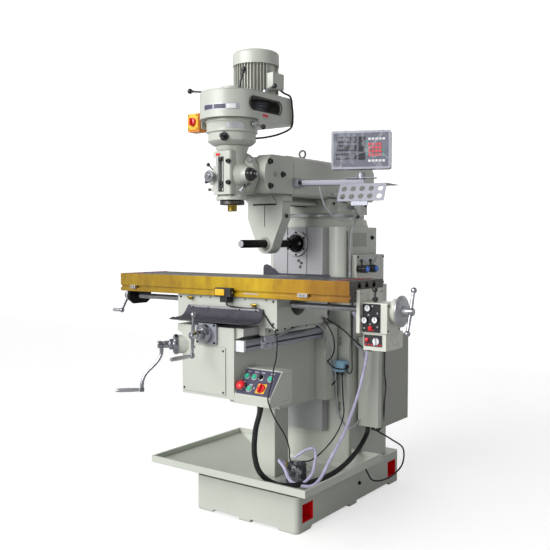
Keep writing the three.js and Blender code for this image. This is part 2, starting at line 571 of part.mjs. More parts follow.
/** Two-armed ball crank: hub at `at`, turning about `axis`, arms along `arm`, grip outward. */
function ballCrank(at, axis, arm, gripLength) {
  const c = new THREE.Vector3(...at);
  const a = new THREE.Vector3(...arm).normalize();
  const n = new THREE.Vector3(...axis).normalize();
  const top = c.clone().addScaledVector(a, 92);
  const low = c.clone().addScaledVector(a, -92);
  const parts = [
    link(top.toArray(), low.toArray(), 8, 10),
    ball(13, top.toArray()),
    ball(13, low.toArray()),
    bar(17, 30, c.clone().addScaledVector(n, -15).toArray(), axis, 16),
  ];
  if (gripLength) {
    parts.push(link(low.toArray(), low.clone().addScaledVector(n, gripLength).toArray(), 8.5, 12));
  }
  return parts;
}
{
  const away = [-Math.SQRT1_2, -Math.SQRT1_2];
  const at = (t, z = 886) => [-165 + away[0] * t, -770 + away[1] * t, z];
  const out = [-1, -1, 0];
  piece('elevating_crank', fuse([
    bar(14, 160, at(-120), out, 16),
    bar(47, 27, at(18.3), out, 32, 5),
    bar(25, 18, at(45), out, 20),
    bar(17, 54, at(62), out, 16, 3),
    rod([at(97, 878), at(99, 838), at(122, 800), at(166, 756), at(184, 722), at(190, 684)], 8, 9),
    bar(11, 22, at(178, 676), out, 14, 2),
    bar(9.5, 118, at(192, 676), out, 14, 3),
  ]), CHROME);
}
{
  const y = KNEE.front - 0.3;
  const { z, r } = CROSS_SCREW;
  const corners = [[-50, -40], [50, -40], [50, 40], [-50, 40]].map(([x, dz]) => [x, y - 11, z + dz]);
  piece('cross_feed_plate', fuse([
    prism(rounded(-61, 61, 903, 997, 6), 'y', y - 12, y),
    ...studs(corners, 6, 4, [0, -1, 0], 8),
  ], [hole(r, 40, [0, y + 5, z], [0, -1, 0], 20)]), ALU);
  piece('cross_feed_screw', fuse([
    bar(r, 500, [0, -372, z], [0, -1, 0], 16),
    bar(42, 36, [0, y - 12.6, z], [0, -1, 0], 32, 4),
    bar(24, 32, [0, y - 48, z], [0, -1, 0], 20),
    ...ballCrank([0, y - 98, z], [0, -1, 0], [0.05, 0, 1], 140),
  ]), CHROME);
}
{
  const { x0, x1, front, back, z0, z1 } = CONTROL;
  const tilt = Math.atan2(108, 90);
  const along = [Math.cos(tilt), Math.sin(tilt)];
  const normal = [0, -along[1], along[0]];
  // A place on the sloping panel: across in X, and down from its upper edge.
  const spot = (x, down, lift = 0.3) => [x, -690 - along[0] * down + normal[1] * lift,
    z1 - along[1] * down + normal[2] * lift];
  const buttons = [['head_start_button', 184, 46], ['head_reverse_button', 225, 46],
    ['arbor_start_button', 314, 46], ['coolant_button', 225, 106]];
  const stop = [181, 100];
  piece('control_box', fuse([
    prism([[front, z0], [back, z0], [back, z1], [-690, z1], [front, 690]], 'x', x0, x1),
  ], [...buttons.map(([, x, down]) => [x, down]), stop]
    .map((place) => hole(12, 40, spot(...place, -16), normal, 18))), PAINT);
  for (const [name, x, down] of buttons) {
    piece(name, bar(12, 18, spot(x, down, -8), normal, 18, 2), GREEN);
  }
  piece('emergency_stop', turned([[0, 0], [12, 0], [12, 20], [22, 22], [22, 28], [15, 35], [0, 37]],
    spot(...stop, -8), normal, 18), RED);
  const turn = (name, x, down, r, finish) => {
    const grip = box(-3.5, 3.5, -r, r, 0, 18)
      .applyMatrix4(new THREE.Matrix4().makeRotationX(tilt));
    grip.translate(...spot(x, down));
    piece(name, fuse([bar(r, 8, spot(x, down), normal, 18), grip]), finish);
  };
  turn('mode_selector', 262, 44, 12, BLACK);
  turn('main_switch', 286, 98, 20, RED);
  piece('knee_scale', prism(rounded(x0, x0 + 48, 878, 928, 4), 'y', -770, KNEE.plate - 2), ALU);
}

// ---------- saddle ----------
{
  const { halfX, front, back, bottom, top } = SADDLE;
  const way = KNEE.wayX + 0.4;
  const groove = new THREE.Shape();
  groove.moveTo(-554, top + 1);
  groove.absarc(-485, 1095, 69, Math.PI, Math.PI * 2, false);
  groove.lineTo(-416, top + 1);
  const block = prism([[-halfX, bottom - 5], [-halfX, top], [halfX, top], [halfX, bottom - 5],
    [way + 34, bottom - 5], [way + 34, 942], [way, 942], [way, bottom], [-way, bottom],
    [-way, 942], [-way - 34, 942], [-way - 34, bottom - 5]], 'y', front, back);
  const clamps = [[-207, 1092], [180, 1074]].flatMap(([x, z]) => [
    bar(5, 24, [x, front + 1, z], [0, -1, 0], 10),
    link([x - 16, front - 16, z + 8], [x + 16, front - 16, z + 8], 5, 8),
  ]);
  piece('saddle', fuse([
    fuse([block], [prism(groove, 'x', -halfX - 1, halfX + 1)]),
    box(-34, 34, -560, -470, 940.5, bottom + 1),
    box(-70, 70, -556, -514, 1040, top),
    ...clamps,
  ], [
    hole(CROSS_SCREW.r, 300, [0, -400, CROSS_SCREW.z], [0, -1, 0], 20),
    hole(TABLE_SCREW.r, 200, [-100, TABLE_SCREW.y, TABLE_SCREW.z], [1, 0, 0], 20),
  ]), PAINT);
  const sheet = prism([[front - 0.3, 1062], [front - 8, 1062], [-678, 1030], [-700, 1008],
    [-750, 1003], [-806, 1006], [-806, 1001.5], [-750, 998], [-702, 1002], [-674, 1024],
    [front - 6, 1052], [front - 0.3, 1054]], 'x', -260, 260);
  const plan = prism([[-212, -600], [-252, -740], [-205, -812], [205, -812], [252, -740],
    [212, -600]], 'z', 980, 1080);
  piece('way_apron', toGeometry(toSolid(sheet).intersect(toSolid(plan))), RUBBER);
  piece('limit_switch', fuse([box(-22, 74, -712, -678, 1112, 1154),
    box(0, 54, -704, front - 0.3, 1086, 1113)]), BLACK);
}

// ---------- table and feed ----------
{
  const { halfX, front, back, top, bottom } = TABLE;
  const slots = [-594, -531, -468].flatMap((y) => [
    box(-halfX - 1, halfX + 1, y - 8, y + 8, top - 30, top + 1),
    box(-halfX - 1, halfX + 1, y - 14, y + 14, top - 32, top - 18),
  ]);
  piece('table', fuse([
    box(-halfX, halfX, front, back, bottom, top),
    prism(rounded(-604, -566, 1127, 1145, 4), 'y', front - 14, front + 8),
    prism(rounded(432, 484, 1127, 1145, 4), 'y', front - 14, front + 8),
  ], [...slots, box(-halfX - 1, halfX + 1, front - 1, front + 9, 1130, 1142)]), CAST);
  piece('left_end_bracket', fuse([
    box(-halfX - 15, -halfX - 0.3, -612, -458, 1038, 1112.7),
    bar(38, 60, [-halfX - 10, TABLE_SCREW.y, TABLE_SCREW.z], [-1, 0, 0], 28, 3),
  ], [hole(TABLE_SCREW.r, 200, [-halfX + 50, TABLE_SCREW.y, TABLE_SCREW.z], [-1, 0, 0], 20)]),
  CAST);
  const { x0, x1, z0, z1 } = FEED;
  const screwHole = hole(TABLE_SCREW.r, 300, [halfX - 20, TABLE_SCREW.y, TABLE_SCREW.z],
    [1, 0, 0], 20);
  piece('power_feed_box', fuse([
    box(halfX + 0.3, x0 + 1, -621, -415, z0, 1166),
    prism(rounded(FEED.front, FEED.back, z0, z1, 5), 'x', x0, x1),
    box(x0 + 4, x1 - 8, -592, -440, 913, z0 + 1),
    bar(52, 28, [x1 - 1, TABLE_SCREW.y, TABLE_SCREW.z], [1, 0, 0], 32, 3),
  ], [screwHole]), PAINT);
  const { y, z, r } = TABLE_SCREW;
  piece('table_screw', fuse([
    bar(r, 1640, [-770, y, z], [1, 0, 0], 16),
    bar(66, 16, [x1 + 28, y, z], [1, 0, 0], 40, 3),
    bar(22, 26, [x1 + 43, y, z], [1, 0, 0], 20),
    bar(30, 18, [-halfX - 71, y, z], [-1, 0, 0], 24, 2),
    ...ballCrank([x1 + 74, y, z], [1, 0, 0], [0, 0.31, 0.95], 0),
    ...ballCrank([-halfX - 96, y, z], [-1, 0, 0], [0, 0.5, 0.87], 70),
  ]), CHROME);
  piece('feed_lever', fuse([
    bar(11, 20, [740, -550, z1 + 11.5], [0, -1, 0], 14),
    link([740, -560, z1 + 12], [740, -560, z1 + 46], 5, 8),
    ball(12, [740, -560, z1 + 52]),
  ]), BLACK);
  piece('feed_selector_switch', fuse([
    bar(15, 6, [765, -592.3, 952], [0, -1, 0], 18),
    box(762, 768, -612, -598, 938, 966),
  ]), ALU);
}

export default root;
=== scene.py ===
"""Turret milling machine: the looks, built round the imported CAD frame. Lengths here are millimetres."""

import math
import random

import bmesh
import bpy
from mathutils import Matrix, Vector


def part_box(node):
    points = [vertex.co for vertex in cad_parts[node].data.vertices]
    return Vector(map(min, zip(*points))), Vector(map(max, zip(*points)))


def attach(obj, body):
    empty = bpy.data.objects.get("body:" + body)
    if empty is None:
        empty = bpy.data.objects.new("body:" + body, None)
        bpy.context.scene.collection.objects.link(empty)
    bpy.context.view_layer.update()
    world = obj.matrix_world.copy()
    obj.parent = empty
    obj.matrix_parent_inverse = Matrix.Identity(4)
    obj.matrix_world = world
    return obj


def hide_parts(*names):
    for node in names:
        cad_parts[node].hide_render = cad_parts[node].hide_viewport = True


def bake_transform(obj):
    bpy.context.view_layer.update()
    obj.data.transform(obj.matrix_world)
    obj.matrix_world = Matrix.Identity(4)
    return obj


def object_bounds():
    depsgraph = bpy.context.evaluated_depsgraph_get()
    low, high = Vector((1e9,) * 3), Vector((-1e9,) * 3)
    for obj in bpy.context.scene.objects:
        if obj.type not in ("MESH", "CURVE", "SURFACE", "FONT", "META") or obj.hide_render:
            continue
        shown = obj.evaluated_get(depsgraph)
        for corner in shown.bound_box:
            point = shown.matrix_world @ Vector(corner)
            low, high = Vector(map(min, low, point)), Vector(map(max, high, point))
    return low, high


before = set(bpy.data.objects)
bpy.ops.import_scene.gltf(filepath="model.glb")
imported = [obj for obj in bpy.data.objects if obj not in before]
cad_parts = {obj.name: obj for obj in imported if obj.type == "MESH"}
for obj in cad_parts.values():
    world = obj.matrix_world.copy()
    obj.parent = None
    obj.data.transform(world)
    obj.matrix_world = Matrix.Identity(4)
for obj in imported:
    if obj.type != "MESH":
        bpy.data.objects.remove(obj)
start_bounds = [list(corner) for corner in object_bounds()]
random.seed(7)
SCALE = 0.001
X, Y, Z = (1, 0, 0), (0, 1, 0), (0, 0, 1)


def mm(node):
    """Lowest and highest corner of a CAD node in millimetres."""
    lo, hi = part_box(node)
    return [v / SCALE for v in lo], [v / SCALE for v in hi]


def srgb(r, g, b):
    """Linear colour from everyday 0-255 values."""
    return tuple((v / 255 / 12.92 if v <= 10 else ((v / 255 + 0.055) / 1.055) ** 2.4) for v in (r, g,
                                                                                                b)) + (1,)


# ---------- materials ----------
def nodes_of(name):
    m = bpy.data.materials.new(name)
    m.use_nodes = True
    t = m.node_tree
    return m, t, t.nodes["Principled BSDF"]


def noise_at(t, scale, detail=4, stretch=(1, 1, 1), rough=0.55):
    place = t.nodes.new("ShaderNodeTexCoord")
    fit = t.nodes.new("ShaderNodeMapping")
    fit.inputs["Scale"].default_value = stretch
    n = t.nodes.new("ShaderNodeTexNoise")
    n.inputs["Scale"].default_value = scale
    n.inputs["Detail"].default_value = detail
    n.inputs["Roughness"].default_value = rough
    t.links.new(place.outputs["Object"], fit.inputs["Vector"])
    t.links.new(fit.outputs["Vector"], n.inputs["Vector"])
    return n.outputs["Fac"]


def ramp(t, source, stops):
    r = t.nodes.new("ShaderNodeValToRGB")
    e = r.color_ramp.elements
    while len(e) < len(stops):
        e.new(0.5)
    for item, (at, colour) in zip(e, stops):
        item.position = at
        item.color = colour
    t.links.new(source, r.inputs["Fac"])
    return r.outputs["Color"]


def grey(v):
    return (v, v, v, 1)


def mixed(t, a, b, factor, kind="MIX"):
    m = t.nodes.new("ShaderNodeMix")
    m.data_type = "RGBA"
    m.blend_type = kind
    for socket, value in ((m.inputs[6], a), (m.inputs[7], b), (m.inputs[0], factor)):
        if isinstance(value, (tuple, float, int)):
            socket.default_value = value
        else:
            t.links.new(value, socket)
    return m.outputs[2]


def relief(t, b, *layers):
    """Chain of bump layers: (height source, strength, distance)."""
    last = None
    for source, strength, distance in layers:
        n = t.nodes.new("ShaderNodeBump")
        n.inputs["Strength"].default_value = strength
        n.inputs["Distance"].default_value = distance
        t.links.new(source, n.inputs["Height"])
        if last:
            t.links.new(last, n.inputs["Normal"])
        last = n.outputs["Normal"]
    t.links.new(last, b.inputs["Normal"])


def enamel(name, colour, corner_shade_colour, rough=0.36, coat=0.35, corner_shade_amount=0.5):
    """Sprayed machine enamel: slight orange peel, uneven tone, and painted shade where surfaces meet."""
    m, t, b = nodes_of(name)
    tone = ramp(t, noise_at(t, 3.2, 5), [(0.3, tuple(c * 0.93 for c in colour[:3]) + (1,)), (0.7, colour)])
    # Painted shade: an ambient-occlusion mask mixes the darker second colour into the paint in corners and where parts
    # meet.
    near = t.nodes.new("ShaderNodeAmbientOcclusion")
    near.samples = 4
    near.inputs["Distance"].default_value = 0.018
    corner = ramp(t, near.outputs["AO"], [(0.35, grey(corner_shade_amount)), (0.85, grey(0))])
    t.links.new(mixed(t, tone, corner_shade_colour, corner), b.inputs["Base Color"])
    t.links.new(ramp(t, noise_at(t, 14, 6), [(0.3, grey(rough - 0.08)), (0.7, grey(rough + 0.1))]),
                b.inputs["Roughness"])
    b.inputs["Coat Weight"].default_value = coat
    b.inputs["Coat Roughness"].default_value = 0.2
    relief(t, b, (noise_at(t, 420, 2), 0.10, 0.0006), (noise_at(t, 22, 3), 0.12, 0.0012))
    return m


def metal(name, colour, dark, rough, grain=(1, 1, 1), scale=60, amount=0.15, metallic=1.0):
    """Machined metal: tone and roughness vary along the grain."""
    m, t, b = nodes_of(name)
    lines = noise_at(t, scale, 8, grain, 0.65)
    t.links.new(ramp(t, lines, [(0.28, dark), (0.68, colour)]), b.inputs["Base Color"])
    t.links.new(ramp(t, lines, [(0.3, grey(rough + 0.14)), (0.7, grey(rough))]), b.inputs["Roughness"])
    b.inputs["Metallic"].default_value = metallic
    relief(t, b, (lines, amount, 0.0004), (noise_at(t, 9, 3), 0.08, 0.001))
    return m


def moulded(name, colour, rough, grain=900, bump=0.12, coat=0.0, metallic=0.0):
    """Plastic or rubber with a fine grain and faint dust."""
    m, t, b = nodes_of(name)
    dust = ramp(t, noise_at(t, 26, 6), [(0.42, colour), (0.78,
                                                         tuple(min(1,
                                                                   c * 1.35 + 0.012) for c in colour[:3]) + (1,))])
    t.links.new(dust, b.inputs["Base Color"])
    t.links.new(ramp(t, noise_at(t, 40, 4), [(0.3, grey(rough - 0.06)), (0.7, grey(rough + 0.08))]),
                b.inputs["Roughness"])
    b.inputs["Coat Weight"].default_value = coat
    b.inputs["Metallic"].default_value = metallic
    relief(t, b, (noise_at(t, grain, 2), bump, 0.0003))
    return m


def film(name, tint=(1, 1, 1, 1), cover=0.2, crinkle=28):
    """Clear plastic film: mostly see-through, with opaque whitish bands along the creases as a painted highlight."""
    m, t, b = nodes_of(name)
    fold = noise_at(t, crinkle, 3, (1, 1, 1), 0.5)
    b.inputs["Base Color"].default_value = tint
    b.inputs["Roughness"].default_value = 0.12
    b.inputs["Specular IOR Level"].default_value = 0.9
    # Painted highlight: the alpha rises to a whitish band along each crease, standing in for the light the folds
    # catch.
    t.links.new(ramp(t, fold, [(0.44, grey(cover * 0.35)), (0.5, grey(min(1, cover * 2.4))),
                               (0.56, grey(cover * 0.35))]),
                b.inputs["Alpha"])
    relief(t, b, (fold, 0.5, 0.004))
    m.surface_render_method = "BLENDED"
    return m


def oil_film(name):
    """Ground iron under a thick golden rust-preventing film that has run downwards, with a painted falloff of light
    along the table.
    """
    m, t, b = nodes_of(name)
    runs = noise_at(t, 5, 7, (3.0, 1, 0.7), 0.62)
    blotch = noise_at(t, 14, 5, (1.6, 1, 1), 0.6)
    gold = ramp(t, runs, [(0.28, srgb(184, 146, 12)), (0.46, srgb(206, 168, 8)), (0.58, srgb(218, 182, 10)),
                          (0.74, srgb(230, 196, 34))])
    aged = mixed(t, gold, srgb(126, 84, 14), ramp(t, blotch, [(0.55, grey(0)), (0.8, grey(0.5))]))
    # Painted light falloff along the table: the colour is multiplied by a tint that leaves the middle at full strength
    # and darkens and browns it towards both ends.
    where = t.nodes.new("ShaderNodeTexCoord")
    split = t.nodes.new("ShaderNodeSeparateXYZ")
    t.links.new(where.outputs["Object"], split.inputs["Vector"])
    along = t.nodes.new("ShaderNodeMapRange")
    along.inputs["From Min"].default_value, along.inputs["From Max"].default_value = -0.69, 0.69
    t.links.new(split.outputs["X"], along.inputs["Value"])
    tint = ramp(t, along.outputs["Result"], [(0.0, srgb(196, 190, 168)), (0.3, srgb(214, 206, 176)),
                                             (0.58, grey(1)),
                                             (0.8, srgb(214, 192, 170)), (1.0, srgb(170, 140, 120))])
    t.links.new(mixed(t, aged, tint, 1.0, "MULTIPLY"), b.inputs["Base Color"])
    b.inputs["Metallic"].default_value = 0.35
    b.inputs["Roughness"].default_value = 0.34
    b.inputs["Coat Weight"].default_value = 0.7
    b.inputs["Coat Roughness"].default_value = 0.12
    relief(t, b, (runs, 0.35, 0.002), (noise_at(t, 160, 3), 0.12, 0.0005))
    return m


def ground_iron(name):
    """Ground table top: dark grey with crossing scraper marks and patches of oil."""
    m, t, b = nodes_of(name)
    marks = noise_at(t, 70, 6, (1, 6, 1), 0.7)
    oil = noise_at(t, 4, 5, (1, 2.4, 1), 0.6)
    tone = ramp(t, marks, [(0.3, srgb(46, 46, 50)), (0.7, srgb(92, 92, 96))])
    t.links.new(mixed(t, tone, srgb(96, 80, 44), ramp(t, oil, [(0.52, grey(0)), (0.7, grey(0.55))])),
                b.inputs["Base Color"])
    b.inputs["Metallic"].default_value = 0.75
    t.links.new(ramp(t, oil, [(0.4, grey(0.42)), (0.62, grey(0.24))]), b.inputs["Roughness"])
    relief(t, b, (marks, 0.2, 0.0006))
    return m


# Each enamel's second colour is painted shade, mixed in at corners and where parts meet.
PAINT = enamel("machine_paint", srgb(198, 202, 192), srgb(96, 92, 78))
# Door paint is the machine paint made darker for the door on the right-hand side: painted shade.
PAINT_SHADED_SIDE = enamel("door_paint_painted_shade", srgb(160, 163, 154), srgb(80, 76, 64))
# A darker copy of the machine paint with more corner shade. It is painted shade where it stands for recessed faces
# (louvres, the door fold, the tongue inside the fork) and the darker grey of small fittings (data plate, plug, lifting
# eye, bush, seam).
PAINT_DARK_AND_SHADED = enamel("inner_paint_and_painted_shade", srgb(168, 171, 162), srgb(66, 62, 52), 0.45, 0.1, 0.7)
CREAM = enamel("feed_box_paint", srgb(212, 213, 203), srgb(110, 102, 88), 0.3, 0.5)
RED_PAINT = enamel("red_enamel", srgb(240, 22, 32), srgb(150, 14, 16), 0.35, 0.1)
IRON = metal("machined_iron", srgb(120, 118, 116), srgb(58, 56, 54), 0.34, (1, 1, 6), 50)
DARK_IRON = metal("black_oiled_iron", srgb(52, 50, 50), srgb(22, 21, 21), 0.3, (1, 1, 1), 60, 0.2, 0.85)
OIL_IRON = oil_film("golden_oil_film")
TABLE_TOP = ground_iron("scraped_table_top")
WAY = metal("ground_way", srgb(188, 188, 192), srgb(164, 164, 168), 0.36, (6, 1, 1), 160, 0.05, 0.6)
STEEL = metal("ground_steel", srgb(214, 215, 219), srgb(158, 159, 164), 0.28, (1, 1, 8), 70, 0.15, 0.8)
CHROME = metal("bright_chrome", srgb(196, 198, 204), srgb(140, 142, 150), 0.14, (1, 1, 1), 30, 0.05)
ALU = metal("satin_aluminium", srgb(178, 180, 190), srgb(152, 154, 164), 0.38, (10, 1, 1), 120, 0.06, 0.6)
BLACK = moulded("black_phenolic", srgb(24, 24, 28), 0.25, coat=0.6, bump=0.05)
BLACK_MATT = moulded("black_moulding", srgb(30, 30, 34), 0.5)
RUBBER = moulded("black_rubber", srgb(52, 50, 62), 0.62, 500, 0.25)
CABLE = moulded("cable_sheath", srgb(16, 16, 18), 0.5, 700, 0.1)
GREY_CABLE = moulded("grey_cable_sheath", srgb(172, 172, 180), 0.45, 700, 0.1)
LILAC = moulded("lilac_hose", srgb(196, 190, 222), 0.28, 300, 0.06, coat=0.5)
SLATE = moulded("slate_panel", srgb(66, 64, 88), 0.42, 1200, 0.05)
GREEN = moulded("green_cap", srgb(38, 178, 140), 0.3, coat=0.4, bump=0.04)
RED = moulded("red_cap", srgb(222, 30, 38), 0.3, coat=0.4, bump=0.04)
YELLOW = moulded("yellow_plate", srgb(238, 178, 30), 0.4, coat=0.2)
ORANGE = moulded("orange_plate", srgb(232, 138, 36), 0.42, coat=0.2)
BLUE = moulded("blue_box", srgb(146, 190, 218), 0.42)
BLUE_CAP = moulded("blue_cap", srgb(50, 106, 200), 0.3, coat=0.4)
WHITE = moulded("white_label", srgb(226, 228, 232), 0.4)
SILVER = metal("label_foil", srgb(206, 208, 214), srgb(176, 178, 186), 0.35, (1, 1, 1), 120, 0.04, 0.5)
BRASS = metal("oily_brass", srgb(198, 172, 84), srgb(122, 100, 34), 0.22, (1, 1, 1), 40, 0.1)
GLASS = moulded("dark_window", srgb(30, 32, 40), 0.12, coat=0.8, bump=0.02)
KEY_RED = moulded("red_keys", srgb(226, 66, 70), 0.4)
CLEAR = film("plastic_wrap", srgb(236, 238, 250), 0.2, 34)
CLEAR_THIN = film("loose_plastic", srgb(232, 234, 244), 0.13, 12)


# ---------- shape building ----------
class Build:
    """Collects closed shells and turns them into one named piece that rides on a body."""

    def __init__(self):
        self.bm = bmesh.new()

    def add(self, points, faces):
        made = [self.bm.verts.new(Vector(p) * SCALE) for p in points]
        for f in faces:
            self.bm.faces.new([made[i] for i in f])
        return self

    def lathe(self, pairs, at, axis, n=48):
        """Solid of revolution: pairs are (radius, distance along the axis)."""
        turn = Vector((0, 0, 1)).rotation_difference(Vector(axis).normalized())
        at = Vector(at)
        pts, rings = [], []
        for r, h in pairs:
            if r < 1e-6:
                rings.append([len(pts)])
                pts.append(at + turn @ Vector((0, 0, h)))
            else:
                rings.append(list(range(len(pts), len(pts) + n)))
                pts += [at + turn @ Vector((r * math.cos(a), r * math.sin(a), h))
                        for a in (2 * math.pi * i / n for i in range(n))]
        faces = []
        for a, b in zip(rings, rings[1:]):
            for i in range(n):
                j = (i + 1) % n
                if len(a) == 1 and len(b) == 1:
                    continue
                if len(a) == 1:
                    faces.append((a[0], b[j], b[i]))
                elif len(b) == 1:
                    faces.append((a[i], a[j], b[0]))
                else:
                    faces.append((a[i], a[j], b[j], b[i]))
        if len(rings[0]) > 1 and len(rings[-1]) > 1:
            for i in range(n):
                j = (i + 1) % n
                faces.append((rings[-1][i], rings[-1][j], rings[0][j], rings[0][i]))
        return self.add(pts, faces)

    def bar(self, r, length, at, axis, n=32, c=0.0):
        pairs = [(0, 0), (r - c, 0), (r, c), (r, length - c), (r - c, length), (0, length)] if c else \
            [(0, 0), (r, 0), (r, length), (0, length)]
        return self.lathe(pairs, at, axis, n)

    def box(self, x0, x1, y0, y1, z0, z1):
        p = [(x, y, z) for z in (z0, z1) for y in (y0, y1) for x in (x0, x1)]
        return self.add(p, [(0, 2, 3, 1), (4, 5, 7, 6), (0, 1, 5, 4), (2, 6, 7, 3), (0, 4, 6, 2),
                            (1, 3, 7, 5)])

    def prism(self, outline, axis, lo, hi):
        """Outline pairs are (y, z) for X, (x, z) for Y and (x, y) for Z."""
        def put(a, b, h):
            return {"x": (h, a, b), "y": (a, h, b), "z": (a, b, h)}[axis]
        n = len(outline)
        pts = [put(a, b, lo) for a, b in outline] + [put(a, b, hi) for a, b in outline]
        faces = [tuple(range(n)), tuple(range(2 * n - 1, n - 1, -1))]
        faces += [(i, i + n, (i + 1) % n + n, (i + 1) % n) for i in range(n)]
        return self.add(pts, faces)

    def tube(self, points, r, n=10, steps=6):
        """Round rod or cable bent smoothly through the points; r may be one radius per point."""
        path, radii = smooth_path(points, r, steps)
        pts, up = [], None
        for i, p in enumerate(path):
            d = (path[min(i + 1, len(path) - 1)] - path[max(i - 1, 0)]).normalized()
            up = (up - d * up.dot(d)).normalized() if up else d.orthogonal().normalized()
            side = d.cross(up)
            pts += [p + (up * math.cos(a) + side * math.sin(a)) * radii[i]
                    for a in (2 * math.pi * k / n for k in range(n))]
        faces = [(i * n + k, i * n + (k + 1) % n, (i + 1) * n + (k + 1) % n, (i + 1) * n + k)
                 for i in range(len(path) - 1) for k in range(n)]
        last = (len(path) - 1) * n
        faces += [tuple(range(n - 1, -1, -1)), tuple(range(last, last + n))]
        return self.add(pts, faces)

    def ball(self, r, at, axis=Z, n=24, neck=0.0):
        """Ball knob; neck adds a short collar below it along the axis."""
        pairs = [(0, -r)] + [(r * math.cos(a), r * math.sin(a)) for a in
                             (math.radians(d) for d in range(-75, 90, 15))] + [(0, r)]
        if neck:
            pairs = [(0, -r - neck), (r * 0.5, -r - neck), (r * 0.42, -r * 0.9)] + pairs[3:]
        return self.lathe(pairs, at, axis, n)

    def place(self, matrix, first):
        """Moves every vertex made since `first`, given in millimetres."""
        self.bm.verts.ensure_lookup_table()
        m = Matrix.Scale(SCALE, 4) @ matrix @ Matrix.Scale(1 / SCALE, 4)
        bmesh.ops.transform(self.bm, matrix=m, verts=self.bm.verts[first:])
        return self

    def count(self):
        return len(self.bm.verts)

    def done(self, name, mat, body, bevel=0.0, replaces=(), cuts=None, sharp=32, seg=2, slot=None):
        bmesh.ops.recalc_face_normals(self.bm, faces=self.bm.faces)
        mesh = bpy.data.meshes.new(name)
        self.bm.to_mesh(mesh)
        self.bm.free()
        o = bpy.data.objects.new(name, mesh)
        bpy.context.scene.collection.objects.link(o)
        if cuts:
            bmesh.ops.recalc_face_normals(cuts.bm, faces=cuts.bm.faces)
            tool_mesh = bpy.data.meshes.new("tool")
            cuts.bm.to_mesh(tool_mesh)
            tool = bpy.data.objects.new("tool", tool_mesh)
            bpy.context.scene.collection.objects.link(tool)
            mod = o.modifiers.new("cut", "BOOLEAN")
            mod.operation, mod.solver, mod.object, mod.use_self = "DIFFERENCE", "EXACT", tool, True
            bpy.context.view_layer.update()
            cut = bpy.data.meshes.new_from_object(o.evaluated_get(bpy.context.evaluated_depsgraph_get()))
            o.modifiers.clear()
            o.data = cut
            bpy.data.objects.remove(tool)
        finish_shape(o, mat, bevel, sharp, seg)
        if body:
            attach(o, body)
        if replaces:
            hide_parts(replaces)
        return o


def finish_shape(o, mat, bevel, sharp=32, seg=2):
    """Material, rounded edges and clean shading."""
    o.data.materials.clear()
    for m in (mat if isinstance(mat, (list, tuple)) else [mat]):
        o.data.materials.append(m)
    o.data.shade_smooth()
    o.data.set_sharp_from_angle(angle=math.radians(sharp))
    if bevel:
        b = o.modifiers.new("edges", "BEVEL")
        b.width, b.segments, b.limit_method = bevel * SCALE, seg, "ANGLE"
        b.angle_limit, b.harden_normals, b.use_clamp_overlap = math.radians(sharp), True, True


def skin(node, mat, bevel, body, name=None, seg=2, paint_faces=None):
    """A cleaned copy of a CAD node's surface with rounded edges, shown in its place."""
    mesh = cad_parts[node].data.copy()
    bm = bmesh.new()
    bm.from_mesh(mesh)
    bmesh.ops.remove_doubles(bm, verts=bm.verts, dist=2e-6)
    bmesh.ops.dissolve_limit(bm, angle_limit=math.radians(0.6), verts=bm.verts, edges=bm.edges)
    bm.to_mesh(mesh)
    bm.free()
    o = bpy.data.objects.new(name or node + "_surface", mesh)
    bpy.context.scene.collection.objects.link(o)
    finish_shape(o, mat, bevel, 30, seg)
    if paint_faces:
        indices = [paint_faces(f) for f in o.data.polygons]
        o.data.polygons.foreach_set("material_index", indices)
    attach(o, body)
    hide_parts(node)
    return o


def smooth_path(points, r, steps):
    """Catmull-Rom curve through the points, with matching radii."""
    p = [Vector(q) for q in points]
    radii = list(r) if isinstance(r, (list, tuple)) else [r] * len(p)
    if len(p) < 3:
        return p, radii
    q = [p[0] * 2 - p[1]] + p + [p[-1] * 2 - p[-2]]
    path, out = [], []
    for i in range(1, len(q) - 2):
        a, b, c, d = q[i - 1:i + 3]
        for k in range(steps):
            s = k / steps
            path.append(0.5 * ((2 * b) + (c - a) * s + (2 * a - 5 * b + 4 * c - d) * s * s
                               + (3 * b - a - 3 * c + d) * s ** 3))
            out.append(radii[i - 1] * (1 - s) + radii[i] * s)
    return path + [p[-1]], out + [radii[-1]]


def arc(cx, cy, r, a0, a1, n=16):
    """Points round an arc, angles in degrees."""
    return [(cx + r * math.cos(math.radians(a0 + (a1 - a0) * i / n)),
             cy + r * math.sin(math.radians(a0 + (a1 - a0) * i / n))) for i in range(n + 1)]


def rounded(x0, x1, y0, y1, r, n=6):
    return (arc(x1 - r, y0 + r, r, -90, 0, n) + arc(x1 - r, y1 - r, r, 0, 90, n)
            + arc(x0 + r, y1 - r, r, 90, 180, n) + arc(x0 + r, y0 + r, r, 180, 270, n))


def hex_bolts(name, places, axis, r, body, mat=None, washer=True, h=None):
    """Socket cap screws standing on a face, each with a hexagon recess, and a washer unless washer is false."""
    b, tools = Build(), Build()
    h = h or r * 1.1
    for at in places:
        b.bar(r, h, at, axis, 24, r * 0.12)
        deep = Vector(at) + Vector(axis).normalized() * h * 0.45
        tools.bar(r * 0.52, h, deep, axis, 6)
        if washer:
            b.bar(r * 1.35, h * 0.16, at, axis, 24)
    return b.done(name, mat or DARK_IRON, body, 0, cuts=tools)


def lever(name, hub, axis, hub_r, hub_len, points, rod_r, ball_r, body, replaces, rod_mat=None,
          ball_mat=None):
    """Hub, bent rod and ball knob; the ball sits at the last point."""
    Build().bar(hub_r, hub_len, hub, axis, 28, 1.2).tube(points, rod_r, 12).done(
        name + "_arm", rod_mat or STEEL, body, 0.6, replaces)
    way = Vector(points[-1]) - Vector(points[-2])
    Build().ball(ball_r, points[-1], way, 24, ball_r * 0.4).done(name + "_knob", ball_mat or BLACK, body)


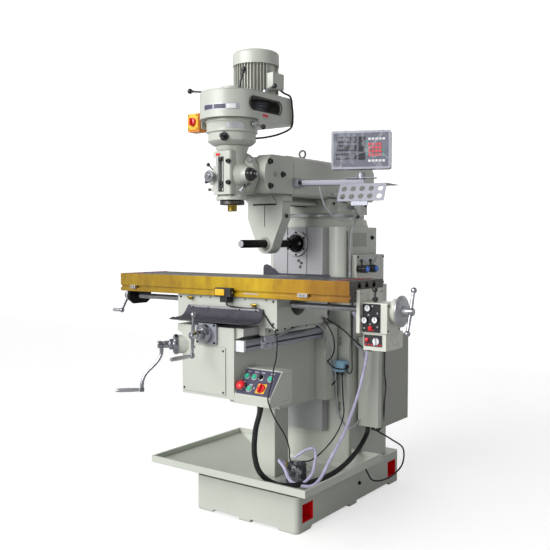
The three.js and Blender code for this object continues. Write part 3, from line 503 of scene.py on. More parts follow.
# ---------- base, tray, pedestal ----------
def base_and_tray():
    skin("base_casting", PAINT, 3.5, "frame")
    skin("chip_tray", PAINT, 1.2, "frame")
    skin("screw_pedestal", PAINT, 5, "frame")
    _, hi = mm("base_casting")
    lining, heads = Build(), []
    for side in (-1, 1):
        for y in (-425, 425):
            out = hi[0] * side
            deep = out - 68 * side
            a, b = sorted((out - 0.8 * side, deep))
            lining.box(a, b, y - 45, y + 45, 44.6, 46.4).box(a, b, y - 45, y + 45, 129.6, 131.4)
            lining.box(a, b, y - 45.5, y - 43.7, 44.6, 131.4).box(a, b, y + 43.7, y + 45.5, 44.6, 131.4)
            a, b = sorted((deep, deep + 2 * side))
            lining.box(a, b, y - 45, y + 45, 45, 131)
        heads.append((out, 60, 100))
    lining.done("lifting_pocket_linings", RED_PAINT, "frame", 0.4)
    for i, (x, y, z) in enumerate(heads):
        hex_bolts(f"base_plug_{i}", [(x, y, z)], (1 if x > 0 else -1, 0, 0), 8, "frame")
    # The strainer plate over the sump.
    _, hi = mm("chip_tray")
    strainer, slots = Build(), Build()
    strainer.box(60, 150, -250, -150, 183, 185.2)
    for i in range(7):
        slots.box(68 + i * 11, 73 + i * 11, -240, -160, 180, 188)
    strainer.done("sump_strainer", STEEL, "frame", 0.3, cuts=slots)


# ---------- column ----------
def column():
    wl, wh = -158, 158
    body = Build().prism(rounded(-285, 285, 0, 415, 9, 4), "z", 176.4, 1130)
    body.prism(rounded(-250, 250, 0, 395, 62, 12), "z", 1120, 1442)
    body.lathe([(0, 0), (236, 0), (224, 43.2), (0, 43.2)], (0, 222, 1441.6), Z, 96)
    cuts = Build().prism(rounded(219, 241, 825, 871, 10, 6), "y", -2, 12)
    cuts.prism(rounded(219, 241, 481, 527, 10, 6), "y", -2, 12)
    cuts.bar(39, 300, (0, -80, 1355), Y, 48)
    body.done("column_casting", PAINT, "frame", 4, "column", cuts=cuts, seg=3)
    ways, grooves = Build(), Build()
    ways.box(wl, wh, -59.9, 1, 372.4, 1442)
    for x in (-61, 61):
        grooves.box(x - 3, x + 3, -62, -54, 700, 1450)
    grooves.bar(39, 90, (0, -70, 1355), Y, 48)
    ways.done("column_ways", WAY, "frame", 2.5, cuts=grooves, slot="column")
    plugs = Build()
    for x, z in ((10, 1264), (27, 1252), (20, 1232)):
        plugs.bar(8.5, 2.6, (x, -59.8, z), (0, -1, 0), 28, 0.8).bar(3, 3.4, (x, -59.8, z), (0, -1, 0), 6)
    plugs.done("way_plugs", IRON, "frame", slot="column")
    # Rear and side covers that close the gear case.
    cover = Build().prism(rounded(-190, 190, 640, 1100, 14), "y", 414.5, 420)
    cover.done("rear_cover", PAINT, "frame", 1.6, slot="column")
    hex_bolts("rear_cover_screws", [(x, 420, z) for x in (-174, 0, 174) for z in (658, 870, 1082)], Y, 6.5,
              "frame",
              washer=False)
    side = Build().prism(rounded(70, 330, 560, 1040, 12), "x", -290.5, -284.5)
    side.done("motor_cover", PAINT, "frame", 1.6, slot="column")
    hex_bolts("motor_cover_screws", [(-290.5, y, z) for y in (86, 314) for z in (578, 800, 1022)], (-1, 0, 0),
              6,
              "frame", washer=False)
    vents = Build()
    for i in range(9):
        z = 640 + i * 22
        pts = [(-290.4, 120, z), (-290.4, 280, z), (-290.4, 120, z + 13), (-290.4, 280, z + 13),
               (-298, 124, z + 1.5), (-298, 276, z + 1.5)]
        vents.add(pts, [(0, 1, 3, 2), (0, 4, 5, 1), (2, 3, 5, 4), (0, 2, 4), (1, 5, 3)])
    # The louvres take the darker paint: painted shade under the hoods.
    vents.done("motor_cover_louvres", PAINT_DARK_AND_SHADED, "frame", 0.8, slot="column")
    # Blank plate and oil cap on the right-hand side of the gear case.
    Build().prism(rounded(96, 236, 1340, 1410, 3), "x", 249.8, 252).done("side_data_plate", PAINT_DARK_AND_SHADED,
                                                                         "frame", 0.4,
                                                                        slot="column")
    hex_bolts("side_plate_screw", [(251, 296, 1386)], X, 9, "frame")
    rivets = Build()
    for y, z in ((102, 1346), (230, 1346), (102, 1404), (230, 1404)):
        rivets.ball(2.2, (252, y, z), X, 12)
    rivets.done("data_plate_rivets", STEEL, "frame")


def spindle():
    b = Build().lathe([(39, 0), (68, 0), (68, 10), (66, 12), (52, 12), (50, 9), (39, 9)], (0, -60.3, 1355),
                      (0, -1, 0), 96)
    b.done("spindle_flange_ring", STEEL, "frame", 0.6, "spindle_flange")
    at = [(56 * math.cos(math.radians(a)) * 1.04, -72, 1355 + 56 * math.sin(math.radians(a)) * 1.04)
          for a in range(30, 360, 60)]
    hex_bolts("spindle_flange_screws", at, (0, -1, 0), 5.4, "frame", BLACK_MATT, False, 4)
    groove = Build().lathe([(40, 0), (47, 0), (47, 5), (40, 5)], (0, -70, 1355), (0, -1, 0), 96)
    groove.done("spindle_seal", DARK_IRON, "frame", 0.5)
    a = Build().lathe([(0, 0), (36, 0), (37.6, 3), (37.6, 246), (32, 248), (30, 268), (26, 270), (26, 280),
                       (23, 281),
                       (23, 284), (26, 285), (26, 296), (19.6, 300), (19.6, 690), (16.5, 696), (6, 697),
                       (3.5, 691),
                       (0, 689)], (0, 160, 1355), (0, -1, 0), 64)
    a.done("arbor_bar", DARK_IRON, "arbor", 0.5, "horizontal_arbor")
    Build().lathe([(16.2, 0), (16.2, 1.2), (6.5, 1.2), (4, -3), (0, -4), (0, -5), (14, -5)],
                  (0, -536.6, 1355),
                  (0, -1, 0), 48).done("arbor_end_face", STEEL, "arbor", 0.2)
    keys = Build()
    for s in (-1, 1):
        keys.box(s * 33 - 7, s * 33 + 7, -96, -84, 1348, 1362)
    keys.done("arbor_drive_keys", STEEL, "arbor", 0.8)


def gear_change():
    skin("gear_change_box", PAINT, 4, "frame")
    _, hi = mm("gear_change_box")
    x = hi[0]
    Build().prism(rounded(150, 226, 1252, 1284, 2), "x", x - 0.2, x + 1).done("speed_plate", SILVER, "frame",
                                                                              0.2)
    hex_bolts("gear_box_screws", [(x, y, z) for y in (92, 372) for z in (1142, 1284)], X, 5, "frame",
              washer=False)
    for body, node, y in (("front_gear", "front_gear_lever", 98), ("rear_gear", "rear_gear_lever", 194)):
        x0 = mm(node)[0][0]
        knob = Build().lathe([(0, 0), (20.6, 0), (20.6, 3), (16, 6), (16, 12), (21, 15), (21, 50), (19, 53),
                              (0, 53)],
                             (x0, y, 1222), X, 48)
        knob.tube([(x0 + 22, y, 1222), (x0 + 22, y - 3, 1242), (x0 + 22, y - 6, 1262)], 5, 12)
        knob.ball(9.6, (x0 + 22, y - 6, 1265), Z)
        knob.done(node + "_knob", BLACK, body, 0.4, node)
        Build().bar(14.5, 9.6, (x0 + 52.5, y, 1222), X, 40, 1.6).done(node + "_cap", BLUE_CAP, body)
        ribs = Build()
        for i in range(18):
            a = math.radians(i * 20)
            ribs.bar(1.1, 30, (x0 + 17, y + 20.4 * math.cos(a), 1222 + 20.4 * math.sin(a)), X, 8)
        ribs.done(node + "_grip_ribs", BLACK_MATT, body)
    x0 = mm("spindle_range_lever")[0][0]
    b = Build().bar(11, 10, (x0, 262, 1246), X, 32, 1.4)
    b.tube([(x0 + 7, 262, 1246), (x0 + 9, 274, 1266), (x0 + 11, 289, 1291)], 3.6, 12)
    b.done("spindle_range_arm", STEEL, "spindle_range", 0.3, "spindle_range_lever")


def cabinet():
    skin("electrical_cabinet", PAINT, 2.5, "frame")
    # The cabinet door takes the darker copy of the machine paint, painted shade for the side away from the light.
    skin("cabinet_door", PAINT_SHADED_SIDE, 1.6, "cabinet_door")
    lo, hi = mm("cabinet_door")
    x = hi[0] - 6
    fold = Build()
    y0, y1, z0, z1 = lo[1] + 10, hi[1] - 10, lo[2] + 10, hi[2] - 10
    for box in ((y0, y1, z0, z0 + 2.4), (y0, y1, z1 - 2.4, z1), (y0, y0 + 2.4, z0, z1),
                (y1 - 2.4, y1, z0, z1)):
        fold.box(hi[0] - 6.4, hi[0] - 5.4, *box)
    # The fold is drawn in the darker paint: painted shade in the crease.
    fold.done("door_fold", PAINT_DARK_AND_SHADED, "cabinet_door", 0.3)
    lock = Build().bar(11, 4, (hi[0] - 6, lo[1] + 31, 640), X, 32, 0.8).bar(6, 6,
                                                                            (hi[0] - 6, lo[1] + 31, 640), X,
                                                                            24, 0.5)
    lock.box(hi[0] - 1, hi[0] - 0.1, lo[1] + 29.6, lo[1] + 32.4, 635, 645)
    lock.done("door_lock", CHROME, "cabinet_door", 0.3)
    hinges = Build()
    for z in (lo[2] + 70, hi[2] - 90):
        hinges.bar(5, 44, (432, 369.0, z), Z, 20, 0.8)
    hinges.done("door_hinges", STEEL, "cabinet_door")
    lo, hi = mm("electrical_cabinet")
    glands = Build()
    for x in (336, 366, 398):
        glands.lathe([(0, 0), (14, 0), (14, 10), (11, 12), (11, 22), (8, 25), (0, 25)], (x, 110, lo[2] + 0.4),
                     (0, 0, -1), 24)
    glands.done("cabinet_glands", BLACK_MATT, "frame", 0.4)


def pump():
    b = Build().lathe([(0, 0), (53, 0), (53, 8), (51, 12), (42, 13), (42, 78), (46, 82), (49, 86), (49, 90),
                       (44, 93.4),
                       (16, 93.4), (12, 90), (0, 90)], (184, -330, 182.8), Z, 56)
    b.done("pump_body", BLACK_MATT, "frame", 0.6, "coolant_pump")
    fins = Build()
    for i in range(20):
        a = math.radians(i * 18)
        c, s = math.cos(a), math.sin(a)
        pts = [(184 + c * r - s * w, -330 + s * r + c * w, z) for z in (198, 258) for r in (40,
                                                                                            48) for w in (-1.2, 1.2)]
        fins.add(pts, [(0, 1, 3, 2), (4, 6, 7, 5), (0, 4, 5, 1), (2, 3, 7, 6), (0, 2, 6, 4), (1, 5, 7, 3)])
    fins.done("pump_fins", BLACK_MATT, "frame")
    Build().lathe([(0, 0), (10, 0), (10, 14), (7, 18), (7, 26), (0, 26)], (150, -356, 262), (-0.3, -0.3, 1),
                  20).done(
        "pump_outlet", BRASS, "frame", 0.4)


# ---------- turret and ram ----------
def dovetail(gap, top, bottom):
    return [(-50 - gap, top), (-50 - gap, 1587), (-72 - gap, 1566), (-72 - gap, bottom), (72 + gap, bottom),
            (72 + gap, 1566), (50 + gap, 1587), (50 + gap, top)]


def turret():
    tool = Build().prism(dovetail(0.5, 1600, 1552.5), "y", -100, 600)
    b = Build().lathe([(0, 0), (212, 0), (212, 9), (208, 12), (208, 30), (196, 34), (196, 84), (186, 91),
                       (0, 91)],
                      (0, 222, 1485.3), Z, 120)
    b.box(-150, 150, 22, 422, 1514, 1589.4)
    b.done("turret_casting", PAINT, "frame", 3, "turret", cuts=tool, seg=3)
    ring = Build().lathe([(200, 0), (212.4, 0), (212.4, 13), (200, 13)], (0, 222, 1496.5), Z, 120)
    ring.done("turret_scale_ring", STEEL, "frame", 0.6, slot="turret")
    ticks = Build()
    for i in range(120):
        a = math.radians(i * 3)
        c, s = math.cos(a), math.sin(a)
        h = 9 if i % 5 == 0 else 5
        pts = [(c * r - s * w, 222 + s * r + c * w, z) for z in (1497.5, 1497.5 + h) for r in (211.5, 212.8)
               for w in (-0.5, 0.5)]
        ticks.add(pts, [(0, 1, 3, 2), (4, 6, 7, 5), (0, 4, 5, 1), (2, 3, 7, 6), (0, 2, 6, 4), (1, 5, 7, 3)])
    ticks.done("turret_scale_marks", BLACK_MATT, "frame", slot="turret")
    at = [(176, 140, 1575), (182, 222, 1575), (176, 304, 1575), (-176, 140, 1575), (-182, 222, 1575),
          (-176, 304, 1575)]
    hex_bolts("turret_bolts", at, Z, 11, "frame", STEEL)
    hex_bolts("gib_screws", [(150, y, 1566) for y in (60, 130, 200, 270, 340, 400)], X, 7, "frame", DARK_IRON,
              False)
    ring = Build()
    c = Vector((172, 70, 1612))
    ring.tube([c + Vector((0, 20 * math.cos(a), 20 * math.sin(a))) for a in
               (2 * math.pi * i / 16 for i in range(17))], 5, 12, 2)
    ring.bar(8, 26, (172, 70, 1570), Z, 24, 1)
    ring.done("turret_lifting_eye", STEEL, "frame")
    b = Build().bar(13, 39, (196.6, 150, 1548), X, 32, 1.5).bar(17, 10, (200, 150, 1548), X, 32, 1)
    b.tube([(229, 150, 1548), (230, 163, 1524), (231, 176, 1500)], 4.6, 12)
    b.tube([(229, 150, 1548), (230, 139, 1566), (231, 128, 1584)], 4.6, 12)
    b.done("ram_pinion_arms", CHROME, "ram_pinion", 0.4, "ram_pinion_lever")
    Build().ball(11, (231, 126, 1586), (0, -0.4, 0.9), 24, 4).ball(11, (231, 178, 1498), (0, 0.4, -0.9), 24,
                                                                   4).done(
        "ram_pinion_knobs", BLACK, "ram_pinion")


def ram():
    lo, hi = mm("ram")
    fork_front, joint, back = lo[1], -297, hi[1]
    top = [(-140, 1602), (-140, 1752)] + [(-128, 1778), (-100, 1790), (100, 1790), (128, 1778), (140, 1752),
                                          (140, 1602),
                                        (128, 1590), (-128, 1590)]
    b = Build().prism(top, "y", joint + 1.4, back)
    b.prism(dovetail(0, 1592, 1553), "y", -352, back - 0.2)
    b.box(-120, 120, -352, joint + 2, 1590, 1597.6)
    b.prism([(x * 0.975, 1690 + (z - 1690) * 0.97) for x, z in top], "y", joint - 4, joint + 6)
    b.done("ram_body", PAINT, "ram", 5, "ram", seg=3)
    fork = [(joint - 1.0, 1598), (joint - 1.0, 1778)] + arc(-426, 1686, 104, 117.8, 237.8, 40)
    slot = Build().bar(86.6, 123.4, (-61.7, -426, 1686), X, 96).box(-61.7, 61.7, -600, -422, 1500, 1900)
    Build().prism(fork, "x", -140, 140).done("ram_fork", PAINT, "ram", 3.5, cuts=slot, seg=3)
    hex_bolts("nod_bolts_right", [(140, -492, 1743), (140, -388, 1688), (140, -489, 1629)], X, 11, "ram",
              BLACK, True, 14)
    hex_bolts("nod_bolts_left", [(-140, -492, 1743), (-140, -388, 1688), (-140, -489, 1629)], (-1, 0, 0), 11,
              "ram",
              BLACK, True, 14)
    Build().lathe([(0, 0), (13, 0), (13, 2.4), (10.5, 3.2), (10.5, 1.4), (0, 1.4)], (140, -449, 1686), X,
                  48).done(
        "nod_plug", PAINT_DARK_AND_SHADED, "ram", 0.4)
    eye = Build()
    c = Vector((0, -12, 1828))
    eye.tube([c + Vector((19 * math.cos(a), 0, 19 * math.sin(a))) for a in
              (2 * math.pi * i / 20 for i in range(21))], 5.4, 14, 2)
    eye.lathe([(0, 0), (15, 0), (15, 7), (9, 10), (9, 20), (0, 20)], (0, -12, 1789.5), Z, 32)
    eye.done("lifting_eye", PAINT_DARK_AND_SHADED, "ram", 0.5)
    Build().prism(rounded(-112, 112, 1612, 1768, 12), "y", back - 0.5, back + 3).done("ram_end_cover", PAINT,
                                                                                      "ram", 1)
    hex_bolts("ram_end_screws", [(x, back + 3, z) for x in (-98, 98) for z in (1626, 1754)], Y, 6, "ram",
              washer=False)
    rack = Build()
    for i in range(60):
        y = -180 + i * 10
        rack.box(-9, 9, y, y + 5, 1549.6, 1553.4)
    rack.done("ram_rack", DARK_IRON, "ram", 0.4)
    hex_bolts("ram_side_plugs", [(140, 60, 1616), (140, 300, 1616)], X, 7, "ram", STEEL, False, 4)


def arbor_support():
    lo, hi = mm("arbor_support")
    front, back = lo[1], hi[1]
    shape = ([(-118, 1589.4), (-118, 1566), (-106, 1560), (-106, 1478), (-50, 1350)]
             + arc(0, 1355, 50, 190, 350, 32) + [(50, 1350), (106, 1478), (106, 1560), (118, 1566),
                                                 (118, 1589.4)])
    tool = Build().prism(dovetail(0.7, 1600, 1546), "y", front - 2, back + 2)
    tool.box(-1.8, 1.8, front - 2, back + 2, 1440, 1552)
    tool.bar(20.2, 100, (0, back + 4, 1355), (0, -1, 0), 64)
    Build().prism(shape, "y", front, back).done("arbor_support_casting", PAINT, "ram", 4, "arbor_support",
                                                cuts=tool,
                                               seg=3)
    hex_bolts("support_clamp_bolt", [(104, (front + back) / 2, 1492)], X, 10, "ram", BLACK)
    Build().lathe([(20.3, 0), (33, 0), (33, 5), (20.3, 5)], (0, front + 1.5, 1355), (0, -1, 0), 64).done(
        "support_bush", PAINT_DARK_AND_SHADED, "ram", 1)
    gib = Build().box(-84, 84, front + 6, back - 6, 1547, 1551.8)
    gib.done("support_gib", DARK_IRON, "ram", 0.8)


def readout():
    turn = Matrix.Rotation(0.42, 4, "Z")
    turn.translation = Vector((154, -268, 0))
    arm = Build()
    arm.prism(rounded(-14, 14, 1640, 1668, 4), "x", 14, 320)
    arm.lathe([(0, 0), (20, 0), (20, 26), (16, 34), (0, 34)], (306, 0, 1667), Z, 40)
    arm.box(230, 380, -22, 22, 1671, 1676)
    arm.place(turn, 0)
    arm.done("readout_bar", ALU, "ram", 1.2, "readout_arm")
    Build().box(140.4, 168, -300, -236, 1634, 1674).done("readout_clamp", ALU, "ram", 2)
    hex_bolts("readout_clamp_screws", [(168, -288, 1654), (168, -248, 1654)], X, 6, "ram", BLACK)
    end = Build().prism(rounded(-11, 11, 1643, 1665, 3), "x", 5, 15)
    end.place(turn, 0)
    end.done("readout_bar_plug", BLACK_MATT, "ram", 0.6)
    # Folded shelf with two rows of holes.
    place = Matrix.Rotation(0.12, 4, "Z")
    place.translation = Vector((366, -226, 1640))
    tilt = Matrix.Rotation(1.107, 4, "X")
    tilt.translation = Vector((0, -42, -84))
    flange = Build().prism(rounded(0, 238, 0, 94, 3), "z", 0, 3)
    holes = Build()
    for row in (25, 66):
        for i in range(5):
            holes.bar(13.2, 14, (27 + i * 46, row, -5), Z, 40)
    for piece in (flange, holes):
        piece.place(place @ tilt, 0)
    flange.done("readout_shelf_front", ALU, "ram", 0.6, cuts=holes)
    shelf = Build().prism(rounded(0, 238, -1, 150, 3), "z", -3, 0.4)
    shelf.box(74, 158, -44, -38, -104, -84)
    shelf.place(place, 0)
    shelf.done("readout_shelf_top", ALU, "ram", 0.6)
    # Display unit.
    spin = Matrix.Rotation(0.42, 4, "Z")
    spin.translation = Vector((434, -144, 1714.4))
    case = Build().prism(rounded(-143, 143, 0.2, 183.8, 9), "y", -18, 26)
    case.place(spin, 0)
    case.done("display_case", BLACK_MATT, "readout", 2, "readout_display")
    bezel = Build().prism(rounded(-143, 143, 0.2, 183.8, 9), "y", -26, -18.2)
    hollow = Build().prism(rounded(-132, 132, 12, 172, 5), "y", -30, -23)
    for piece in (bezel, hollow):
        piece.place(spin, 0)
    bezel.done("display_bezel", ALU, "readout", 1.2, cuts=hollow)
    face = Build().prism(rounded(-131, 131, 13, 171, 4), "y", -24, -22.8)
    face.place(spin, 0)
    face.done("display_face", moulded("display_grey", srgb(104, 106, 120), 0.45), "readout", 0.2)
    windows = Build()
    for z in (128, 88, 48):
        windows.prism(rounded(-120, -22, z, z + 28, 3), "y", -25.4, -23.8)
    windows.prism(rounded(-12, 20, 44, 156, 3), "y", -25.2, -23.8)
    windows.place(spin, 0)
    windows.done("display_windows", GLASS, "readout", 0.3)
    digits = Build()
    for z in (128, 88, 48):
        for i in range(7):
            x = -112 + i * 12.6
            for seg in ((0, 0, 7, 1.6), (0, 8.2, 7, 1.6), (0, 16.4, 7, 1.6), (0, 0, 1.6, 9), (5.6, 0, 1.6, 9),
                        (0, 9, 1.6, 9), (5.6, 9, 1.6, 9)):
                digits.box(x + seg[0], x + seg[0] + seg[2], -26, -25.2, z + 5 + seg[1],
                           z + 5 + seg[1] + seg[3])
    digits.place(spin, 0)
    digits.done("display_segments", moulded("unlit_segments", srgb(120, 128, 132), 0.4), "readout")
    for name, mat, cells in (
            ("number_keys", KEY_RED, [(34 + c * 17, 62 + r * 17) for c in range(4) for r in range(4)]),
            ("function_keys", BLACK_MATT, [(-8, 56 + r * 24) for r in range(4)] + [(8,
                                                                                    56 + r * 24) for r in range(4)]),
            ("axis_keys", GREEN, [(25, 66 + r * 20) for r in range(4)] + [(104,
                                                                           66 + r * 20) for r in range(2)]),
            ("menu_keys", WHITE, [(34 + c * 17, 138) for c in range(5)] + [(34 + c * 17,
                                                                            34) for c in range(5)])):
        keys = Build()
        for x, z in cells:
            w = 13 if name in ("number_keys", "menu_keys") else 8
            keys.prism(rounded(x, x + w, z, z + min(w, 11), 2, 3), "y", -26.6, -23.8)
        keys.place(spin, 0)
        keys.done(name, mat, "readout", 0.5)
    wrap = Build()
    wrap.prism(rounded(-146, 146, -3, 187, 11), "y", -30, 29)
    wrap.place(spin, 0)
    o = wrap.done("display_film", CLEAR_THIN, "readout", 3)
    sub = o.modifiers.new("creases", "SUBSURF")
    sub.subdivision_type, sub.levels, sub.render_levels = "SIMPLE", 4, 4
    tex = bpy.data.textures.new("creases", "CLOUDS")
    tex.noise_scale, tex.noise_depth = 0.035, 3
    d = o.modifiers.new("wrinkle", "DISPLACE")
    d.texture, d.strength, d.texture_coords = tex, 0.006, "GLOBAL"


# ---------- vertical head ----------
def head():
    y = -600
    rear = -548.3
    nose = Build().lathe([(0, 0), (98, 0), (104.6, 4), (104.6, 17), (100, 22), (95, 31), (91, 66), (0, 66)],
                         (0, -548, 1686), Y, 96)
    tools = Build()
    for side in (-1, 1):
        tools.bar(104.8, 90, (side * 61.6, -426, 1686), (side, 0, 0), 128)
    nose.done("adapter_nose", PAINT, "adapter", 2, "ram_adapter", cuts=tools)
    tongue = Build().bar(85.6, 122.6, (-61.3, -426, 1686), X, 96, 1)
    tongue.box(-61.3, 61.3, -540, -426, 1617, 1755)
    # The tongue inside the fork takes the darker paint: painted shade.
    tongue.done("adapter_tongue", PAINT_DARK_AND_SHADED, "adapter", 1)
    ring = Build().lathe([(86, 0), (103, 0), (103, 1.2), (86, 1.2)], (0, -548.25, 1686), Y, 96)
    ring.done("adapter_joint_face", DARK_IRON, "adapter")
    # Quill housing: barrel, front block with the stop slot, rear flange and side bosses.
    body = Build().lathe([(0, 0), (75.6, 0), (75.6, 14), (72, 18), (66.5, 26), (66.5, 208), (69, 224),
                          (77.6, 244),
                          (77.6, 251), (0, 251)], (0, y, 1560), Z, 96)
    body.prism(rounded(-54, 54, -680, y, 13, 8), "z", 1584, 1784)
    body.lathe([(0, 0), (104.6, 0), (104.6, 19), (98, 28), (84, 40), (60, 57), (0, 57)], (0, rear, 1686),
               (0, -1, 0), 96)
    body.lathe([(0, 0), (72, 0), (69, 18), (60, 38), (46, 56), (38, 68), (36, 83.6), (0, 83.6)],
               (20, y, 1676), X, 72)
    body.bar(26, 43, (-50.6, y, 1700), (-1, 0, 0), 48, 3)
    body.box(-62, -40, -668, -610, 1600, 1690)
    tools = Build().box(-15, 15, -684, -652, 1596, 1758)
    tools.bar(43.4, 262, (0, y, 1540), Z, 72)
    tools.box(-300, 300, rear, -400, 1400, 1900)
    body.done("quill_housing_casting", PAINT, "head", 2.5, "quill_housing", cuts=tools)
    hex_bolts("quill_clamp_bolts", [(44, -678, 1735), (44, -678, 1638)], (0, -1, 0), 9, "head", BLACK, True,
              15)
    hex_bolts("tilt_bolts", [(x, rear - 21, z) for x, z in ((82, 1742), (-82, 1742), (82, 1630),
                                                            (-82, 1630))],
              (0, -1, 0), 9, "head", STEEL, True, 12)
    hex_bolts("head_flange_screws", [(70 * math.cos(math.radians(a)), y + 70 * math.sin(math.radians(a)),
                                      1577)
                                     for a in (-20, -60, -120, -160)], Z, 4.5, "head", STEEL, False)
    # Depth stop: threaded rod with its nut in the front slot.
    stop = Build().lathe(thread(4.6, 5.6, 150, 2.4), (0, -668, 1600), Z, 20)
    stop.done("depth_stop_screw", STEEL, "head")
    nut = Build().lathe([(5.8, 0), (13, 0), (13, 9), (11, 11), (5.8, 11)], (0, -668, 1618), Z, 24)
    nut.lathe([(5.8, 0), (11, 0), (13, 2), (13, 12), (5.8, 12)], (0, -668, 1632), Z, 24)
    nut.done("depth_stop_nuts", BLACK_MATT, "head", 0.4)
    Build().box(-14, 14, -684, -655, 1740, 1756).bar(7, 10, (0, -690, 1748), Y, 24, 1).done(
        "stop_trip_block", BLACK, "head", 1.4)
    Build().box(-24, -16.4, -683, -680, 1600, 1756).done("depth_scale", STEEL, "head", 0.4)
    marks = Build()
    for i in range(30):
        marks.box(-23.4, -17.4 if i % 5 == 0 else -20, -683.4, -682.8, 1604 + i * 5, 1604.8 + i * 5)
    marks.done("depth_scale_marks", BLACK_MATT, "head")
    Build().box(-48, -30, -681.4, -679.8, 1716, 1752).done("blank_sticker_left", WHITE, "head", 0.2)
    Build().box(-30, -8, -683.2, -681.8, 1762, 1774).done("red_tag_left", RED, "head", 0.3)
    # Feed drive on the left-hand side.
    worm = Build().lathe([(0, 0), (24, 0), (24, 12), (17, 16), (17, 30), (12, 33), (0, 33)],
                         (-62, -640, 1650), (-1, 0, 0), 40)
    worm.lathe([(0, 0), (15, 0), (15, 8), (10, 12), (10, 24), (0, 24)], (-62, -640, 1612), (-1, 0, 0), 32)
    worm.done("feed_engage_bosses", PAINT, "head", 1)
    pull = Build().bar(6, 30, (-92, -640, 1650), (-1, 0, 0), 20, 0.6).ball(8.5, (-126, -640, 1650),
                                                                           (-1, 0, 0), 24, 3)
    pull.bar(4.5, 18, (-84, -640, 1612), (-1, 0, 0), 20, 0.6).ball(7, (-106, -640, 1612), (-1, 0, 0), 24, 3)
    pull.done("feed_engage_knobs", BLACK, "head")
    wheel = Build().lathe([(0, 0), (9, 0), (9, 4), (26, 6), (28, 9), (28, 15), (24, 18), (9, 18), (9, 24),
                           (0, 24)],
                          (-54, -690, 1668), (0, -1, 0), 40)
    wheel.done("fine_feed_wheel", CHROME, "head", 0.8)
    side = mm("quill_feed_hub")[0][0]
    hub = Build().lathe([(0, 0), (29.6, 0), (29.6, 12), (26, 15), (22, 16), (22, 29), (20, 31), (13, 31),
                         (12, 37),
                         (10, 38), (0, 38)], (side, y, 1676), X, 56)
    hub.done("feed_hub", BLACK, "quill_hub", 0.5, "quill_feed_hub")
    flutes = Build()
    for i in range(16):
        a = math.radians(i * 22.5)
        flutes.bar(1.8, 12, (side + 2, y + 29.4 * math.cos(a), 1676 + 29.4 * math.sin(a)), X, 10, 0.6)
    flutes.done("feed_hub_grip", BLACK_MATT, "quill_hub")
    Build().bar(7, 3, (side + 37.4, y, 1676), X, 24, 0.8).done("feed_hub_screw", CHROME, "quill_hub")
    lever("quill_lock", (78.3, -640, 1600), (0.8, -0.6, 0), 9, 15.6,
          [(88, -648, 1600), (97, -645, 1610), (104, -640, 1623)], 3.6, 8, "quill_lock", "quill_lock_lever",
          CHROME)
    b = Build().bar(9, 19.6, (-94.5, y, 1700), (-1, 0, 0), 28, 1)
    b.tube([(-108, y, 1700), (-110, -622, 1716), (-112, -641, 1729)], 3.6, 10)
    b.tube([(-108, y, 1700), (-109, -620, 1678), (-110, -637, 1657)], 3.6, 10)
    b.done("feed_trip_arms", STEEL, "feed_trip", 0.3, "feed_trip_lever")
    Build().ball(9, (-112, -642, 1730), (0, -0.8, 0.5), 24, 3).ball(9, (-110, -638, 1656), (0, -0.8, -0.5),
                                                                    24, 3).done(
        "feed_trip_knobs", BLACK, "feed_trip")


def thread(core, crest, length, pitch):
    pairs, h = [(0, 0), (core, 0)], 0
    while h + pitch < length:
        pairs += [(core, h + pitch * 0.2), (crest, h + pitch * 0.5), (core, h + pitch * 0.8)]
        h += pitch
    return pairs + [(core, length), (0, length)]


def gearing():
    lo, _ = mm("gear_housing")
    z = lo[2]
    g = Build().lathe([(0, 0), (80, 0), (92, 3), (104, 12), (112, 20), (112, 54), (116, 57), (119.6, 60),
                       (119.6, 99),
                       (121, 102), (123.6, 105), (123.6, 118), (0, 118)], (0, -600, z), Z, 120)
    g.done("gear_housing_casting", PAINT, "head", 1.2, "gear_housing")
    out = Vector((0.36, -0.933, 0)).normalized()
    centre = Vector((0, -600, 0))

    def on_wall(angle, r, h):
        a = math.radians(angle)
        return (r * math.cos(a), -600 + r * math.sin(a), h)
    plate = Build()
    n = 14
    pts = [on_wall(-62 + 40 * i / n, r, h) for h in (1884, 1906) for r in (119.2,
                                                                           120.8) for i in range(n + 1)]
    k = n + 1
    faces = []
    for i in range(n):
        faces += [(k + i, k + i + 1, 3 * k + i + 1, 3 * k + i), (i + 1, i, 2 * k + i, 2 * k + i + 1),
                  (i, i + 1, k + i + 1, k + i), (2 * k + i + 1, 2 * k + i, 3 * k + i, 3 * k + i + 1)]
    faces += [(0, k, 3 * k, 2 * k), (n, 2 * k + n, 3 * k + n, k + n)]
    plate.add(pts, faces)
    plate.done("gear_data_plate", SILVER, "head")
    at = centre + out * 112.8 + Vector((0, 0, 1844))
    knob = Build().lathe([(0, 0), (15, 0), (20, 1), (20, 5), (16, 7.6), (9, 8.4), (9, 20), (0, 20)], at, out,
                         40)
    knob.done("feed_selector_plate", BLACK_MATT, "feed_rate", 0.3, "feed_selector")
    Build().ball(11, centre + out * 152 + Vector((0, 0, 1844)), out, 24, 10).done("feed_selector_knob", BLACK,
                                                                                  "feed_rate")
    hex_bolts("gear_housing_screws", [on_wall(a, 112, 1828) for a in (-150, -110, -30, 10)], Z, 3.2, "head",
              STEEL, False)
    top = mm("high_low_lever")[0][0]
    b = Build().bar(12, 13.6, (top, -600, 1904), X, 32, 1.2)
    b.tube([(top + 9.5, -600, 1904), (top + 17, -580, 1900), (top + 24, -560, 1896)], 4.4, 12)
    b.done("high_low_arm", STEEL, "high_low", 0.3, "high_low_lever")
    Build().ball(12, (151, -556, 1895), (0.2, 0.9, -0.15), 24, 4).done("high_low_knob", BLACK, "high_low")


